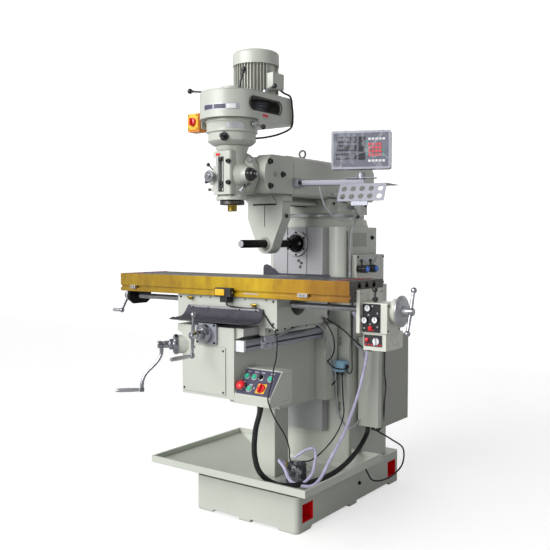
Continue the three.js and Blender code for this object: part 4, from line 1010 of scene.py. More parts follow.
def belts():
    lo, _ = mm("belt_housing")
    z0, z1 = lo[2], 2058
    r, back = 150, -290

    def plan(grow):
        q = r + grow
        return (arc(0, -600, q, 180, 360, 56) + arc(q - 40, back + grow - 40, 40, 0, 90, 12)
                + arc(-q + 40, back + grow - 40, 40, 90, 180, 12))
    body = Build().prism(plan(0), "z", z0, z1 - 7)
    window = rounded(-650, -412, 1968, 2024, 27, 10)
    tools = Build().prism(plan(-9), "z", z0 + 12, z1 - 16)
    tools.prism(window, "x", 60, r + 20).prism(window, "x", -r - 20, -60)
    body.done("belt_housing_casting", PAINT, "head", 3, "belt_housing", cuts=tools, seg=3)
    Build().prism(plan(-4), "z", z1 - 6.6, z1 - 0.2).done("belt_housing_lid", PAINT, "head", 2, seg=3)
    Build().lathe([(0, 0), (57.6, 0), (57.6, 22), (53, 27.6), (40, 27.6), (38, 25), (12, 25), (10, 27.8),
                   (0, 27.8)],
                  (0, -600, z1), Z, 80).done("drawbar_cap", PAINT, "head", 1)
    lip = Build()
    for s in (-1, 1):
        x = s * r
        a, b = sorted((x - 1.5 * s, x + 0.8 * s))
        outer, inner = rounded(-655, -407, 1963, 2029, 31, 10), rounded(-650, -412, 1968, 2024, 27, 10)
        n = len(outer)
        pts = [(h, *p) for h in (a, b) for p in outer] + [(h, *p) for h in (a, b) for p in inner]
        faces = []
        for i in range(n):
            j = (i + 1) % n
            faces += [(i, j, n + j, n + i), (2 * n + j, 2 * n + i, 3 * n + i, 3 * n + j),
                      (n + i, n + j, 3 * n + j, 3 * n + i), (j, i, 2 * n + i, 2 * n + j)]
        lip.add(pts, faces)
    lip.done("window_edge_trim", BLACK_MATT, "head")
    # Stepped pulleys and the belt seen through the windows.
    steps = [(0, 0), (88, 0)]
    for i, rad in enumerate((88, 76, 64, 52)):
        h = i * 22
        steps += [(rad, h), (rad, h + 3), (rad - 7, h + 9), (rad - 7, h + 12), (rad, h + 18), (rad, h + 21)]
    steps += [(20, 90), (0, 90)]
    Build().lathe(steps, (0, -600, 1946), Z, 64).done("spindle_pulley", ALU, "head")
    flipped = [(rad, 90 - h) for rad, h in reversed(steps)]
    Build().lathe([(0, 0)] + [(rad * 0.85, h) for rad, h in flipped[1:-1]] + [(0, 90)], (0, -416, 1946), Z,
                  64).done(
        "motor_pulley", ALU, "head")
    loop = []
    for cy, rad, a0, a1 in ((-600, 64, 180, 360), (-416, 56, 0, 180)):
        loop += arc(0, cy, rad, a0, a1, 24)
    n = len(loop)
    pts = [(x * g, -508 + (yy + 508) * (1 + (g - 1) * 0.5), h) for h in (1980, 1993) for g in (0.94, 1.06)
           for x, yy in loop]
    faces = []
    for i in range(n):
        j = (i + 1) % n
        faces += [(i, j, n + j, n + i), (3 * n + i, 3 * n + j, 2 * n + j, 2 * n + i),
                  (n + i, n + j, 3 * n + j, 3 * n + i), (j, i, 2 * n + i, 2 * n + j)]
    Build().add(pts, faces).done("drive_belt", RUBBER, "head")
    # Blank plates where the housing carries its labels.

    def wrapped(name, a0, a1, h0, h1, rad, mat):
        n = 18
        pts = [(q * math.cos(math.radians(a0 + (a1 - a0) * i / n)),
                -600 + q * math.sin(math.radians(a0 + (a1 - a0) * i / n)), h)
               for h in (h0, h1) for q in (rad - 0.4, rad + 0.9) for i in range(n + 1)]
        k = n + 1
        faces = []
        for i in range(n):
            faces += [(k + i, k + i + 1, 3 * k + i + 1, 3 * k + i), (i + 1, i, 2 * k + i, 2 * k + i + 1),
                      (i, i + 1, k + i + 1, k + i), (2 * k + i + 1, 2 * k + i, 3 * k + i, 3 * k + i + 1)]
        faces += [(0, k, 3 * k, 2 * k), (n, 2 * k + n, 3 * k + n, k + n)]
        Build().add(pts, faces).done(name, mat, "head")
    wrapped("name_plate_blank", -108, -38, 1962, 1988, 150, SILVER)
    for i, (a0, a1) in enumerate(((-106, -86), (-84, -62), (-60, -44))):
        wrapped(f"name_plate_panel_{i}", a0, a1, 1965, 1985, 150.9, SLATE if i < 2 else WHITE)
    Build().box(149.6, 151.4, -560, -520, 1942, 1954).done("red_tag_right", RED, "head", 0.3)
    # Three levers on the lid.
    top = mm("brake_lever")[0][2]
    Build().lathe([(0, 0), (12, 0), (12, 12), (9, 16), (9, 20), (0, 20)], (-100, -600, top), Z, 32).tube(
        [(-100, -600, top + 14), (-180, -598, top + 27), (-262, -596, top + 39)], 4.6, 12).done(
        "belt_tension_arm", BLACK, "belt_tension", 0.4, "belt_tension_lever")
    Build().ball(13, (-268, -596, top + 41), (-1, 0, 0.16), 28, 5).done("belt_tension_knob", BLACK,
                                                                        "belt_tension")
    Build().lathe([(0, 0), (12, 0), (12, 10), (9, 14), (0, 14)], (76, -640, top), Z, 32).tube(
        [(76, -640, top + 8), (79, -632, top + 50), (84, -618, top + 92)], [7, 5.4, 7], 12).done(
        "brake_arm", BLACK, "brake", 0.4, "brake_lever")
    Build().ball(13, (85, -616, top + 98), (0.08, 0.2, 1), 28, 5).done("brake_knob", BLACK, "brake")
    Build().lathe([(0, 0), (10, 0), (10, 12), (7, 16), (0, 16)], (132, -520, top), Z, 28).tube(
        [(132, -520, top + 8), (142, -500, top + 22), (153, -477, top + 36)], 4.6, 12).done(
        "motor_clamp_arm", STEEL, "motor_clamp", 0.4, "motor_clamp_lever")
    Build().ball(12, (155, -473, top + 37), (0.3, 0.7, 0.4), 28, 5).done("motor_clamp_knob", BLACK,
                                                                         "motor_clamp")
    # Reversing switch on the left.
    lo, _ = mm("cam_switch_box")
    skin("cam_switch_box", ORANGE, 2, "head")
    plate = Build().prism(rounded(-219, -155, 1896, 1972, 3), "y", -667.2, -665.8)
    hole = Build().bar(21, 10, (-187, -660, 1934), (0, -1, 0), 40)
    plate.done("cam_switch_plate", YELLOW, "head", 0.3, cuts=hole)
    hex_bolts("cam_switch_screws", [(x, -667.2, z) for x in (-212, -162) for z in (1903, 1965)], (0, -1, 0),
              3, "head",
              BLACK_MATT, False, 2)
    knob = Build().lathe([(0, 0), (20, 0), (20, 4), (18, 10), (12, 12), (0, 12)], (-187, -666.5, 1934),
                         (0, -1, 0), 40)
    knob.prism([(-192, 1917), (-182, 1917), (-184, 1951), (-190, 1951)], "y", -690, -672)
    knob.done("cam_switch_handle", RED, "cam_switch", 1.4, "cam_switch_knob")
    Build().box(-150.8, -144, -650, -616, 1900, 1962).done("cam_switch_bracket", PAINT, "head", 1)


def motor():
    y, r, z0, z1 = -416, 113, 2058.3, 2281
    shell = Build().lathe([(0, 0), (123.6, 0), (123.6, 8), (104, 12), (98, 16), (98, z1 - z0 - 66),
                           (0, z1 - z0 - 66)],
                          (0, y, z0), Z, 96)
    shell.done("motor_frame", PAINT, "head", 1, "motor")
    cowl = Build().lathe([(90, 0), (112.8, 0), (112.8, 52), (110, 60), (102, 66.4), (60, 68.4), (0, 69.2),
                          (0, 66),
                          (60, 65), (100, 62), (108, 56), (108, 3), (90, 3)], (0, y, z1 - 69.4), Z, 96)
    cowl.done("motor_cowl", PAINT, "head", 0.5)
    fins = Build()
    for i in range(44):
        a = math.radians(i * 360 / 44)
        if abs(math.degrees(math.atan2(math.sin(a), math.cos(a)))) < 22:
            continue
        c, s = math.cos(a), math.sin(a)
        pts = [(c * q - s * w, y + s * q + c * w, z) for z in (z0 + 22, z1 - 70) for q in (96,
                                                                                           109.5) for w in (-1.5, 1.5)]
        fins.add(pts, [(0, 1, 3, 2), (4, 6, 7, 5), (0, 4, 5, 1), (2, 3, 7, 6), (0, 2, 6, 4), (1, 5, 7, 3)])
    fins.done("motor_fins", PAINT, "head", 0.6)
    grille = Build()
    for q in (22, 38, 54, 70, 86):
        grille.lathe([(q, 0), (q + 6, 0), (q + 6, 1), (q, 1)], (0, y, z1 - 1.2), Z, 64)
    grille.done("fan_grille", BLACK_MATT, "head")
    box = Build().prism(rounded(y - 45, y + 45, 2091, 2167, 6), "x", 98, 136)
    box.done("motor_terminal_box", PAINT, "head", 2.4)
    hex_bolts("terminal_box_screws", [(136, y + a, z) for a in (-36, 36) for z in (2100, 2158)], X, 4, "head",
              STEEL,
              False, 1.9)
    hex_bolts("motor_flange_bolts", [(116 * math.cos(math.radians(a)), y + 116 * math.sin(math.radians(a)),
                                      z0 + 8)
                                     for a in (-35, -145, 35, 145)], Z, 6, "head", STEEL, False)


def spindle_nose():
    lo, _ = mm("quill")
    q = Build().lathe([(24.4, 0), (55, 0), (58, 3), (58, 17), (55, 20), (43, 20), (43, 250), (24.4, 250)],
                      (0, -600, lo[2]), Z, 80)
    q.done("quill_sleeve", IRON, "quill", 0.5, "quill")
    flats = Build()
    n = Build().lathe([(12, 0), (20, 0), (22, 2.4), (22, 26), (24, 31), (24, 268), (0, 268), (0, 40),
                       (8, 36)],
                      (0, -600, 1508), Z, 64)
    n.done("spindle_nose_sleeve", BRASS, "spindle", 0.3, "spindle_nose")
    for s in (-1, 1):
        flats.box(s * 16 - 4, s * 16 + 4, -605, -595, 1507.2, 1512)
    flats.done("drive_dogs", STEEL, "spindle", 0.5)


# ---------- knee ----------
def marks_round(name, at, axis, r, h0, h1, count, body, mat=None):
    """Graduation lines standing a hair above a dial's rim."""
    turn = Vector((0, 0, 1)).rotation_difference(Vector(axis).normalized())
    at, b = Vector(at), Build()
    for i in range(count):
        a = 2 * math.pi * i / count
        top = h1 if i % 5 == 0 else (h0 + h1) / 2
        c, s = math.cos(a), math.sin(a)
        pts = [at + turn @ Vector((c * q - s * w, s * q + c * w, h)) for h in (h0, top) for q in (r - 0.4,
                                                                                                  r + 0.25)
               for w in (-0.35, 0.35)]
        b.add(pts, [(0, 1, 3, 2), (4, 6, 7, 5), (0, 4, 5, 1), (2, 3, 7, 6), (0, 2, 6, 4), (1, 5, 7, 3)])
    return b.done(name, mat or BLACK_MATT, body)


def ball_crank(name, at, axis, arm, body, node, grip=0):
    """Two-armed crank: turned balls at both ends, a waisted hub and, when grip is given, a grip on the lower ball."""
    c, n, a = Vector(at), Vector(axis).normalized(), Vector(arm).normalized()
    top, low = c + a * 92, c - a * 92
    b = Build().lathe([(0, -86), (6.5, -86), (8.2, -20), (8.2, 20), (6.5, 86), (0, 86)], c, a, 24)
    b.lathe([(0, -15), (12, -15), (17, -11), (17, 11), (13, 15), (0, 15)], c, n, 32)
    b.ball(13, top, a, 28).ball(13, low, a, 28).ball(16, c, a, 28)
    b.done(name, CHROME, body, 0.3)
    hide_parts(node)
    if grip:
        Build().lathe([(0, 6), (6, 6), (6, 16), (8.6, 18), (9, grip * 0.4), (9.6, grip * 0.72),
                       (8.4, grip - 5), (5, grip),
                       (0, grip)], low, n, 28).done(name + "_grip", STEEL, body, 0.3, slot=node)


def knee():
    def way_face(p):
        c, n = p.center / SCALE, p.normal
        flat = n.z > 0.9 and c.z > 975
        edge = abs(n.x) > 0.9 and abs(c.x) > 196 and c.z > 947 and c.y < -119
        return 1 if flat or edge else 0
    skin("knee", (PAINT, WAY), 3, "knee", paint_faces=way_face)
    lo, hi = mm("knee_cover")
    outline = [(-148, 676), (108, 676), (108, 892), (-88, 892), (-88, 834), (-148, 834)]
    Build().prism(outline, "y", -784, hi[1]).done("knee_front_cover", PAINT, "knee", 1, "knee_cover")
    hex_bolts("knee_cover_screws", [(-140, -784, 688), (96, -784, 688), (96, -784, 876), (-76, -784, 882)],
              (0, -1, 0), 4.6,
              "knee", BLACK_MATT, False, 3)
    lo, hi = mm("elevating_screw")
    Build().lathe(thread(18.6, 21.8, 600, 8), (0, -285, lo[2]), Z, 32).done("elevating_thread", STEEL,
                                                                            "lift_screw", 0,
                                                                          "elevating_screw")
    gear = []
    for i in range(26):
        a = 2 * math.pi * i / 26
        for da, r in ((-0.07, 52), (-0.035, 59), (0.035, 59), (0.07, 52)):
            gear.append((r * math.cos(a + da), -285 + r * math.sin(a + da)))
    Build().prism(gear, "z", 872, 898).done("elevating_gear", DARK_IRON, "lift_screw", 0.5)
    s = math.sqrt(0.5)

    def at(t, z=886):
        return (-165 - s * t, -770 - s * t, z)
    out = (-1, -1, 0)
    b = Build().bar(14, 100, at(-62), out, 32).lathe(
        [(0, 0), (44, 0), (47, 3), (47, 17), (44, 21), (33, 26), (0, 26)], at(18.6), out, 72)
    b.lathe([(0, 0), (25, 0), (25, 12), (21, 17), (0, 17)], at(44.8), out, 48)
    b.lathe([(0, 0), (15, 0), (17, 3), (17, 22), (14, 24), (14, 30), (17, 32), (17, 50), (14, 54), (0, 54)],
            at(62), out, 40)
    b.tube([at(97, 882), at(99, 838), at(122, 800), at(166, 756), at(184, 722), at(190, 684)],
           [10, 8, 7.4, 7.4, 8, 9], 16, 8)
    b.lathe([(0, 0), (9, 0), (11, 3), (11, 19), (9, 22), (0, 22)], at(178, 676), out, 32)
    b.done("elevating_crank_arm", CHROME, "lift_crank", 0.4, "elevating_crank")
    Build().lathe([(0, 0), (6, 0), (6, 6), (8.4, 8), (9.4, 40), (9.4, 92), (8, 108), (5, 114), (0, 114)],
                  at(196, 676), out,
                  32).done("elevating_crank_grip", STEEL, "lift_crank", 0.3)
    marks_round("elevating_dial_marks", at(18.6), out, 47, 4, 13, 50, "lift_crank")
    lo, hi = mm("cross_feed_plate")
    y = hi[1]
    tools = Build().bar(12.4, 60, (0, y + 10, 950), (0, -1, 0), 40)
    plate = Build().prism(rounded(-61, 61, 903.4, 996.6, 7), "y", y - 11.6, y)
    plate.lathe([(12, 0), (45, 0), (42, 3), (12, 3)], (0, y - 11, 950), (0, -1, 0), 56)
    plate.done("cross_feed_plate_casting", ALU, "knee", 1, "cross_feed_plate", cuts=tools)
    hex_bolts("cross_feed_screws", [(x, y - 11.6, z) for x in (-50, 50) for z in (910, 990)], (0, -1, 0), 5.4,
              "knee",
              BLACK_MATT, False, 4)
    lo, hi = mm("cross_feed_screw")
    rod = Build().bar(11.8, 420, (0, hi[1], 950), (0, -1, 0), 40)
    rod.lathe([(0, 0), (38, 0), (42, 4), (42, 22), (39, 26), (30, 35), (0, 35)], (0, -793, 950), (0, -1, 0),
              80)
    rod.lathe([(0, 0), (24, 0), (24, 9), (19, 13), (19, 29), (15, 33), (0, 33)], (0, -828, 950), (0, -1, 0),
              48)
    rod.bar(11, 16, (0, -856, 950), (0, -1, 0), 28)
    rod.done("cross_feed_rod", CHROME, "cross_screw", 0.4, "cross_feed_screw")
    marks_round("cross_feed_marks", (0, -793, 950), (0, -1, 0), 42, 6, 16, 50, "cross_screw")
    ball_crank("cross_feed_crank", (0, -878.3, 950), (0, -1, 0), (0.05, 0, 1), "cross_screw",
               "cross_feed_screw", 138)
    # Cross scale on the right-hand side: extrusion with a groove and a moulded end cap.
    lo, hi = mm("knee_scale")
    x0, x1, z0, z1 = lo[0], hi[0], lo[2], hi[2]
    tools = Build().box(x1 - 12, x1 + 2, lo[1] - 4, hi[1] + 4, z0 + 17, z0 + 27)
    tools.box(x1 - 3, x1 + 2, lo[1] - 4, hi[1] + 4, z0 + 37, z0 + 41)
    Build().prism([(x0, z0), (x1, z0), (x1, z1 - 10), (x1 - 8, z1), (x0, z1)], "y", lo[1] + 14, hi[1]).done(
        "cross_scale_body", ALU, "knee", 1.2, "knee_scale", cuts=tools)
    Build().prism(rounded(x0, x1, z0, z1, 4), "y", lo[1], lo[1] + 15).done("cross_scale_cap", WHITE, "knee",
                                                                           1.4)
    Build().box(x1 - 11, x1 - 4, lo[1] + 16, hi[1] - 4, z0 + 18, z0 + 20).done("cross_scale_lip", RUBBER,
                                                                               "knee", 0.3)
    reader = Build().prism(rounded(-628, -566, 905, 938, 3), "x", x1 + 1.2, x1 + 20)
    reader.prism(rounded(-640, -560, 938, 966, 2), "x", x1 + 4, x1 + 8)
    reader.done("cross_scale_reader", ALU, "saddle", 0.8)
    wrap = Build().prism(rounded(-652, -548, 876, 946, 16), "x", x1 - 1, x1 + 27)
    crumple(wrap.done("cross_scale_film", CLEAR, "saddle", 5), 0.006, 0.03)


def crumple(o, strength, size, levels=4):
    """Fine creases in a film bag."""
    sub = o.modifiers.new("creases", "SUBSURF")
    sub.subdivision_type, sub.levels, sub.render_levels = "SIMPLE", levels, levels
    tex = bpy.data.textures.new(o.name + "_folds", "CLOUDS")
    tex.noise_scale, tex.noise_depth = size, 3
    d = o.modifiers.new("wrinkle", "DISPLACE")
    d.texture, d.strength, d.texture_coords = tex, strength, "GLOBAL"


def controls():
    skin("control_box", PAINT, 2, "knee")
    tilt = math.atan2(108, 90)
    slope = Matrix.Rotation(tilt, 4, "X")
    slope.translation = Vector((0, -690, 798))
    up = Vector((0, math.cos(tilt), math.sin(tilt)))
    out = Vector((0, -math.sin(tilt), math.cos(tilt)))

    def spot(x, down, lift=0.0):
        return Vector((x, -690, 798)) - up * down + out * lift
    spots = {"head_start": (184, 46), "head_reverse": (225, 46), "arbor_start": (314, 46),
             "coolant": (225, 106),
             "stop": (181, 100)}
    nodes = {"head_start": "head_start_button", "head_reverse": "head_reverse_button",
             "arbor_start": "arbor_start_button", "coolant": "coolant_button", "stop": "emergency_stop"}
    panel = Build().prism(rounded(161, 351, -134, -7, 4), "z", -0.6, 1.2)
    panel.place(slope, 0)
    tools = Build()
    for x, down in spots.values():
        tools.bar(12.9, 12, spot(x, down, -5), out, 40)
    panel.done("control_panel", SLATE, "knee", 0.3, cuts=tools)
    rings, lamps = Build(), Build()
    for key, (x, down) in spots.items():
        rings.lathe([(12.7, 1), (17.2, 1), (17.2, 3), (15.6, 5.2), (12.7, 5.2)], spot(x, down), out, 40)
        if key == "stop":
            Build().lathe([(0, 0), (11.8, 0), (11.8, 20), (21, 21.6), (22, 24), (21.6, 28), (18, 33),
                           (10, 36.4), (0, 37)],
                          spot(x, down, -8), out, 56).done("stop_mushroom", RED, "stop", 0.4, nodes[key])
            continue
        Build().lathe([(0, 0), (11.8, 0), (11.8, 15.6), (10.4, 17.6), (7, 18), (6, 17), (0, 16.8)],
                      spot(x, down, -8), out, 40).done(nodes[key] + "_cap", GREEN, key, 0.3, nodes[key])
    rings.done("button_bezels", STEEL, "knee", 0.3)
    for x, down in ((250, 100), (302, 44)):
        lamps.lathe([(0, 1), (5, 1), (5, 3.6), (3.6, 5), (0, 5.4)], spot(x, down), out, 24)
    labels = Build()
    for x in (184, 225, 262, 314):
        labels.prism(rounded(x - 10, x + 10, -22, -17, 1, 2), "z", 1.1, 1.5)
    for x, d in ((181, 74), (225, 84)):
        labels.prism(rounded(x - 9, x + 9, -d - 3, -d + 2, 1, 2), "z", 1.1, 1.5)
    labels.place(slope, 0)
    labels.done("blank_panel_labels", SILVER, "knee")
    lamps.done("panel_screws", STEEL, "knee", 0.2)
    sel = Build().lathe([(0, 0.4), (12, 0.4), (12, 5), (10, 8), (0, 8)], spot(262, 44), out, 40)
    grip = sel.count()
    sel.prism([(-3.4, -11), (3.4, -11), (2.4, 11), (-2.4, 11)], "z", 7, 18)
    sel.bm.verts.ensure_lookup_table()
    move = Matrix.Rotation(tilt, 4, "X")
    move.translation = spot(262, 44)
    sel.place(move, grip)
    sel.done("mode_knob", BLACK, "mode", 0.7, "mode_selector")
    Build().lathe([(12.6, 1), (16, 1), (16, 3), (14, 4.4), (12.6, 4.4)], spot(262, 44), out, 40).done(
        "mode_bezel", STEEL, "knee", 0.2)
    plate = Build().prism(rounded(262, 310, -122, -74, 3), "z", 1.1, 2.2)
    tool = Build().bar(21.5, 20, spot(286, 98, -5), out, 40)
    plate.place(slope, 0)
    plate.done("switch_plate", YELLOW, "knee", 0.3, cuts=tool)
    knob = Build().lathe([(0, 0.4), (20, 0.4), (20, 5), (17.6, 8), (0, 8)], spot(286, 98), out, 48)
    grip = knob.count()
    knob.prism([(-3.4, -19), (3.4, -19), (2.6, 19), (-2.6, 19)], "z", 7, 18)
    move = Matrix.Rotation(tilt, 4, "X")
    move.translation = spot(286, 98)
    knob.place(move, grip)
    knob.done("main_switch_handle", RED, "main_switch", 0.9, "main_switch")
    _, hi = mm("control_box")
    seam = Build().box(hi[0] - 0.4, hi[0] + 0.5, -694, -640, 664, 668)
    seam.done("control_box_seam", PAINT_DARK_AND_SHADED, "knee", 0.2)
    hex_bolts("control_box_screws", [(hi[0], -640, 680), (hi[0], -640, 780)], X, 3.6, "knee", STEEL, False,
              1.6)
    Build().lathe([(0, 0), (20, 0), (20, 8), (16, 10), (16, 22), (13, 26), (0, 26)], (244, -700, 650.4),
                  (0, 0, -1), 28).done(
        "control_box_gland", BLACK_MATT, "knee", 0.5)


# ---------- saddle ----------
def saddle():
    def clamp_face(p):
        c = p.center / SCALE
        return 1 if c.y < -655.6 else 0
    skin("saddle", (PAINT, BRASS), 2.4, "saddle", paint_faces=clamp_face)
    Build().prism(rounded(-22, 74, 1112, 1154, 5), "y", -706, -678).done("limit_switch_case", BLACK_MATT,
                                                                         "saddle", 1.6,
                                                                       "limit_switch")
    Build().prism(rounded(-14, 40, 1119, 1148, 3), "y", -711.6, -705).done("limit_switch_cover", YELLOW,
                                                                           "saddle", 1)
    stem = Build().box(6, 48, -700, -655.6, 1087, 1113)
    stem.lathe([(0, 0), (9, 0), (9, 10), (6, 14), (0, 14)], (40, -690, 1100), (0.4, -0.3, -1), 20)
    stem.done("limit_switch_base", BLACK_MATT, "saddle", 1)
    Build().lathe([(0, 0), (7, 0), (7, 5), (4.5, 6.4), (4.5, 9.6), (0, 9.6)], (66, -692, 1133), (1, 0, 0),
                  24).done(
        "limit_switch_plunger", STEEL, "saddle", 0.3)
    hex_bolts("saddle_front_screws", [(x, -655, z) for x,
                                      z in ((-280, 998), (280, 998), (-280, 1098), (280, 1098))],
              (0, -1, 0), 5, "saddle", BLACK_MATT, False, 3)
    gibs = [(x, y, 960) for x in (232.6,) for y in (-620, -560, -500, -440, -380, -320)]
    hex_bolts("saddle_gib_screws", gibs, X, 5, "saddle", DARK_IRON, False, 3)
    # Oil nipples along the saddle.
    nip = Build()
    for x in (-150, -90, 120, 240):
        nip.ball(4, (x, -655, 1102), (0, -1, 0), 16)
    nip.done("oil_nipples", BRASS, "saddle")
    apron()
    rear_cover()


def sheet(name, grid, thick, mat, body, replaces=None, levels=1):
    """Soft sheet from a grid of points in millimetres, thickened and smoothed."""
    rows, cols = len(grid), len(grid[0])
    b = Build().add([p for row in grid for p in row],
                    [(i * cols + j, i * cols + j + 1, (i + 1) * cols + j + 1, (i + 1) * cols + j)
                     for i in range(rows - 1) for j in range(cols - 1)])
    o = b.done(name, mat, body, 0, replaces, sharp=80)
    s = o.modifiers.new("gauge", "SOLIDIFY")
    s.thickness, s.offset = thick * SCALE, 0
    m = o.modifiers.new("soft", "SUBSURF")
    m.levels = m.render_levels = levels
    return o


def apron():
    """Folded rubber sheet hung on the front of the saddle, lying out over the knee ways."""
    line = [(-655.6, 1060), (-660, 1060), (-664, 1052), (-669, 1042), (-675, 1031), (-682, 1021),
            (-690, 1013), (-700, 1007.5),
            (-713, 1005.5), (-728, 1005), (-734, 1003), (-740, 1005), (-756, 1004.4), (-772, 1004),
            (-779, 1002.4),
            (-786, 1004.4), (-798, 1004.6), (-806, 1004.8)]

    def half(y):
        pts = [(-655, 228), (-700, 240), (-740, 250), (-790, 220), (-806, 206)]
        for (a, wa), (b, wb) in zip(pts, pts[1:]):
            if b <= y <= a:
                return wa + (wb - wa) * (y - a) / (b - a)
        return pts[-1][1] if y < -800 else pts[0][1]
    grid = []
    for i, (y, z) in enumerate(line):
        w, row = half(y), []
        loose = i / (len(line) - 1)
        for j in range(41):
            u = j / 20 - 1
            curl = 5.0 * loose * abs(u) ** 6
            wave = loose * (1.1 * math.sin(u * 9 + y * 0.05) + 0.7 * math.sin(u * 23 + 1))
            row.append((u * w, y + 1.2 * math.sin(u * 14) * loose, z + curl * 0.4 + wave * 0.7 + 0.4))
        grid.append(row)
    sheet("way_apron_sheet", grid, 2.6, RUBBER, "saddle", "way_apron")
    bar = Build().prism(rounded(-206, 206, 1047, 1061, 2), "y", -665, -661.4)
    bar.done("apron_clamp_bar", STEEL, "saddle", 0.5)
    hex_bolts("apron_screws", [(x, -665, 1054) for x in (-190, -95, 95, 190)], (0, -1, 0), 4, "saddle",
              BLACK_MATT, False, 3)
    hem = Build().tube([(-250, -742, 1006.2), (-228, -778, 1005.6), (-206, -805, 1005.4),
                        (-100, -806, 1005.6),
                        (0, -806, 1005.6), (100, -806, 1005.6), (206, -805, 1005.4), (228, -778, 1005.6),
                        (250, -742, 1006.2)],
                       2.4, 8, 4)
    hem.done("apron_hem", RUBBER, "saddle")


def rear_cover():
    """Rubber sheet standing behind the saddle against the column, with one corner turned up."""
    grid = []
    rise = [(-78, 986), (-77, 1010), (-73, 1040), (-71, 1075), (-72, 1110), (-69, 1145), (-68, 1175),
            (-69, 1196)]
    for i, (y, z) in enumerate(rise):
        row = []
        for j in range(29):
            u = j / 14 - 1
            up = max(0, -u - 0.55) / 0.45
            x = 214 * u
            row.append((x, y + 2 * math.sin(u * 11 + i * 0.6) - up * 6 * i / 7,
                        z + up * 78 * (i / 7) ** 2 * (1 - 0.45 * max(0, up - 0.6) / 0.4)))
        grid.append(row)
    sheet("rear_way_cover", grid, 2.6, RUBBER, "knee")


# ---------- table and power feed ----------
def repaint(o, rule):
    o.data.polygons.foreach_set("material_index", [rule(p) for p in o.data.polygons])


def table():
    front, back, bottom, top = -677, -385, 1113, 1203
    x0, x1 = mm("table")[0][0], mm("table")[1][0]
    tools = Build()
    for y in (-594, -531, -468):
        tools.box(x0 - 2, x1 + 2, y - 8, y + 8, 1180, 1210)
        tools.box(x0 - 3, x1 + 3, y - 14, y + 14, 1171, 1185)
    tools.box(x0 - 2, x1 + 2, front - 2, front + 9, 1130, 1142)
    b = Build().prism([(front, bottom), (back, bottom), (back, top), (front, top)], "x", x0, x1)
    o = b.done("table_casting", (OIL_IRON, TABLE_TOP, IRON), "table", 1.4, "table", cuts=tools)

    def zone(p):
        c, n = p.center / SCALE, p.normal
        if n.z > 0.7 and c.z > top - 3:
            return 1
        slot = c.z > 1169 and -610 < c.y < -452 and abs(n.x) < 0.5
        return 2 if slot or n.z < -0.7 or abs(n.x) > 0.7 or n.y > 0.7 else 0
    repaint(o, zone)
    for i, (a, c) in enumerate(((-604, -566), (432, 484))):
        mid = (a + c) / 2
        dog = Build().prism(rounded(a, c, 1127.4, 1144.6, 4), "y", front - 13, front + 3)
        dog.prism(rounded(a + 8, c - 8, 1131, 1141, 2), "y", front, front + 8)
        dog.done(f"trip_dog_{i}", STEEL, "table", 1.2)
        hex_bolts(f"trip_dog_screw_{i}", [(mid - 9, front - 13, 1136), (mid + 9, front - 13, 1136)],
                  (0, -1, 0), 4, "table",
                  BRASS, False, 1)
    Build().box(128, 214, front - 0.8, front + 1, 1128, 1132.6).done("table_centre_scale", SILVER, "table",
                                                                     0.2)
    # Packing tape left across both ends of the top.
    for i, (xa, xb) in enumerate(((-640, -612), (612, 634))):
        grid = []
        for k in range(60):
            y = front + 2 + (back - front - 4) * k / 59
            sag = 0
            for slot in (-594, -531, -468):
                sag = max(sag, 1 - abs(y - slot) / 9)
            drift = (xb - xa) * 0.25 * math.sin(k * 0.21 + i)
            grid.append([(xa + (xb - xa) * j / 4 + drift, y,
                          top + 1.6 + 1.3 * math.sin(k * 0.9 + j * 1.3) * 0.6 - 1.2 * sag)
                         for j in range(5)])
        sheet(f"packing_tape_{i}", grid, 0.6, RED, "table")
    tools = Build().bar(14.5, 120, (x0 + 30, -535, 1078), (-1, 0, 0), 40)
    end = Build().prism([(-612, 1060), (-580, 1038), (-490, 1038), (-458, 1060), (-458, 1112.4),
                         (-612, 1112.4)], "x",
                        x0 - 15, x0 - 0.3)
    end.lathe([(0, 0), (38, 0), (38, 40), (34, 58), (31, 60), (0, 60)], (x0 - 10, -535, 1078), (-1, 0, 0), 56)
    end.done("left_end_casting", DARK_IRON, "table", 2, "left_end_bracket", cuts=tools)
    hex_bolts("left_end_screws", [(x0 - 15, y, 1098) for y in (-600, -470)], (-1, 0, 0), 6, "table",
              BLACK_MATT, False, 5)


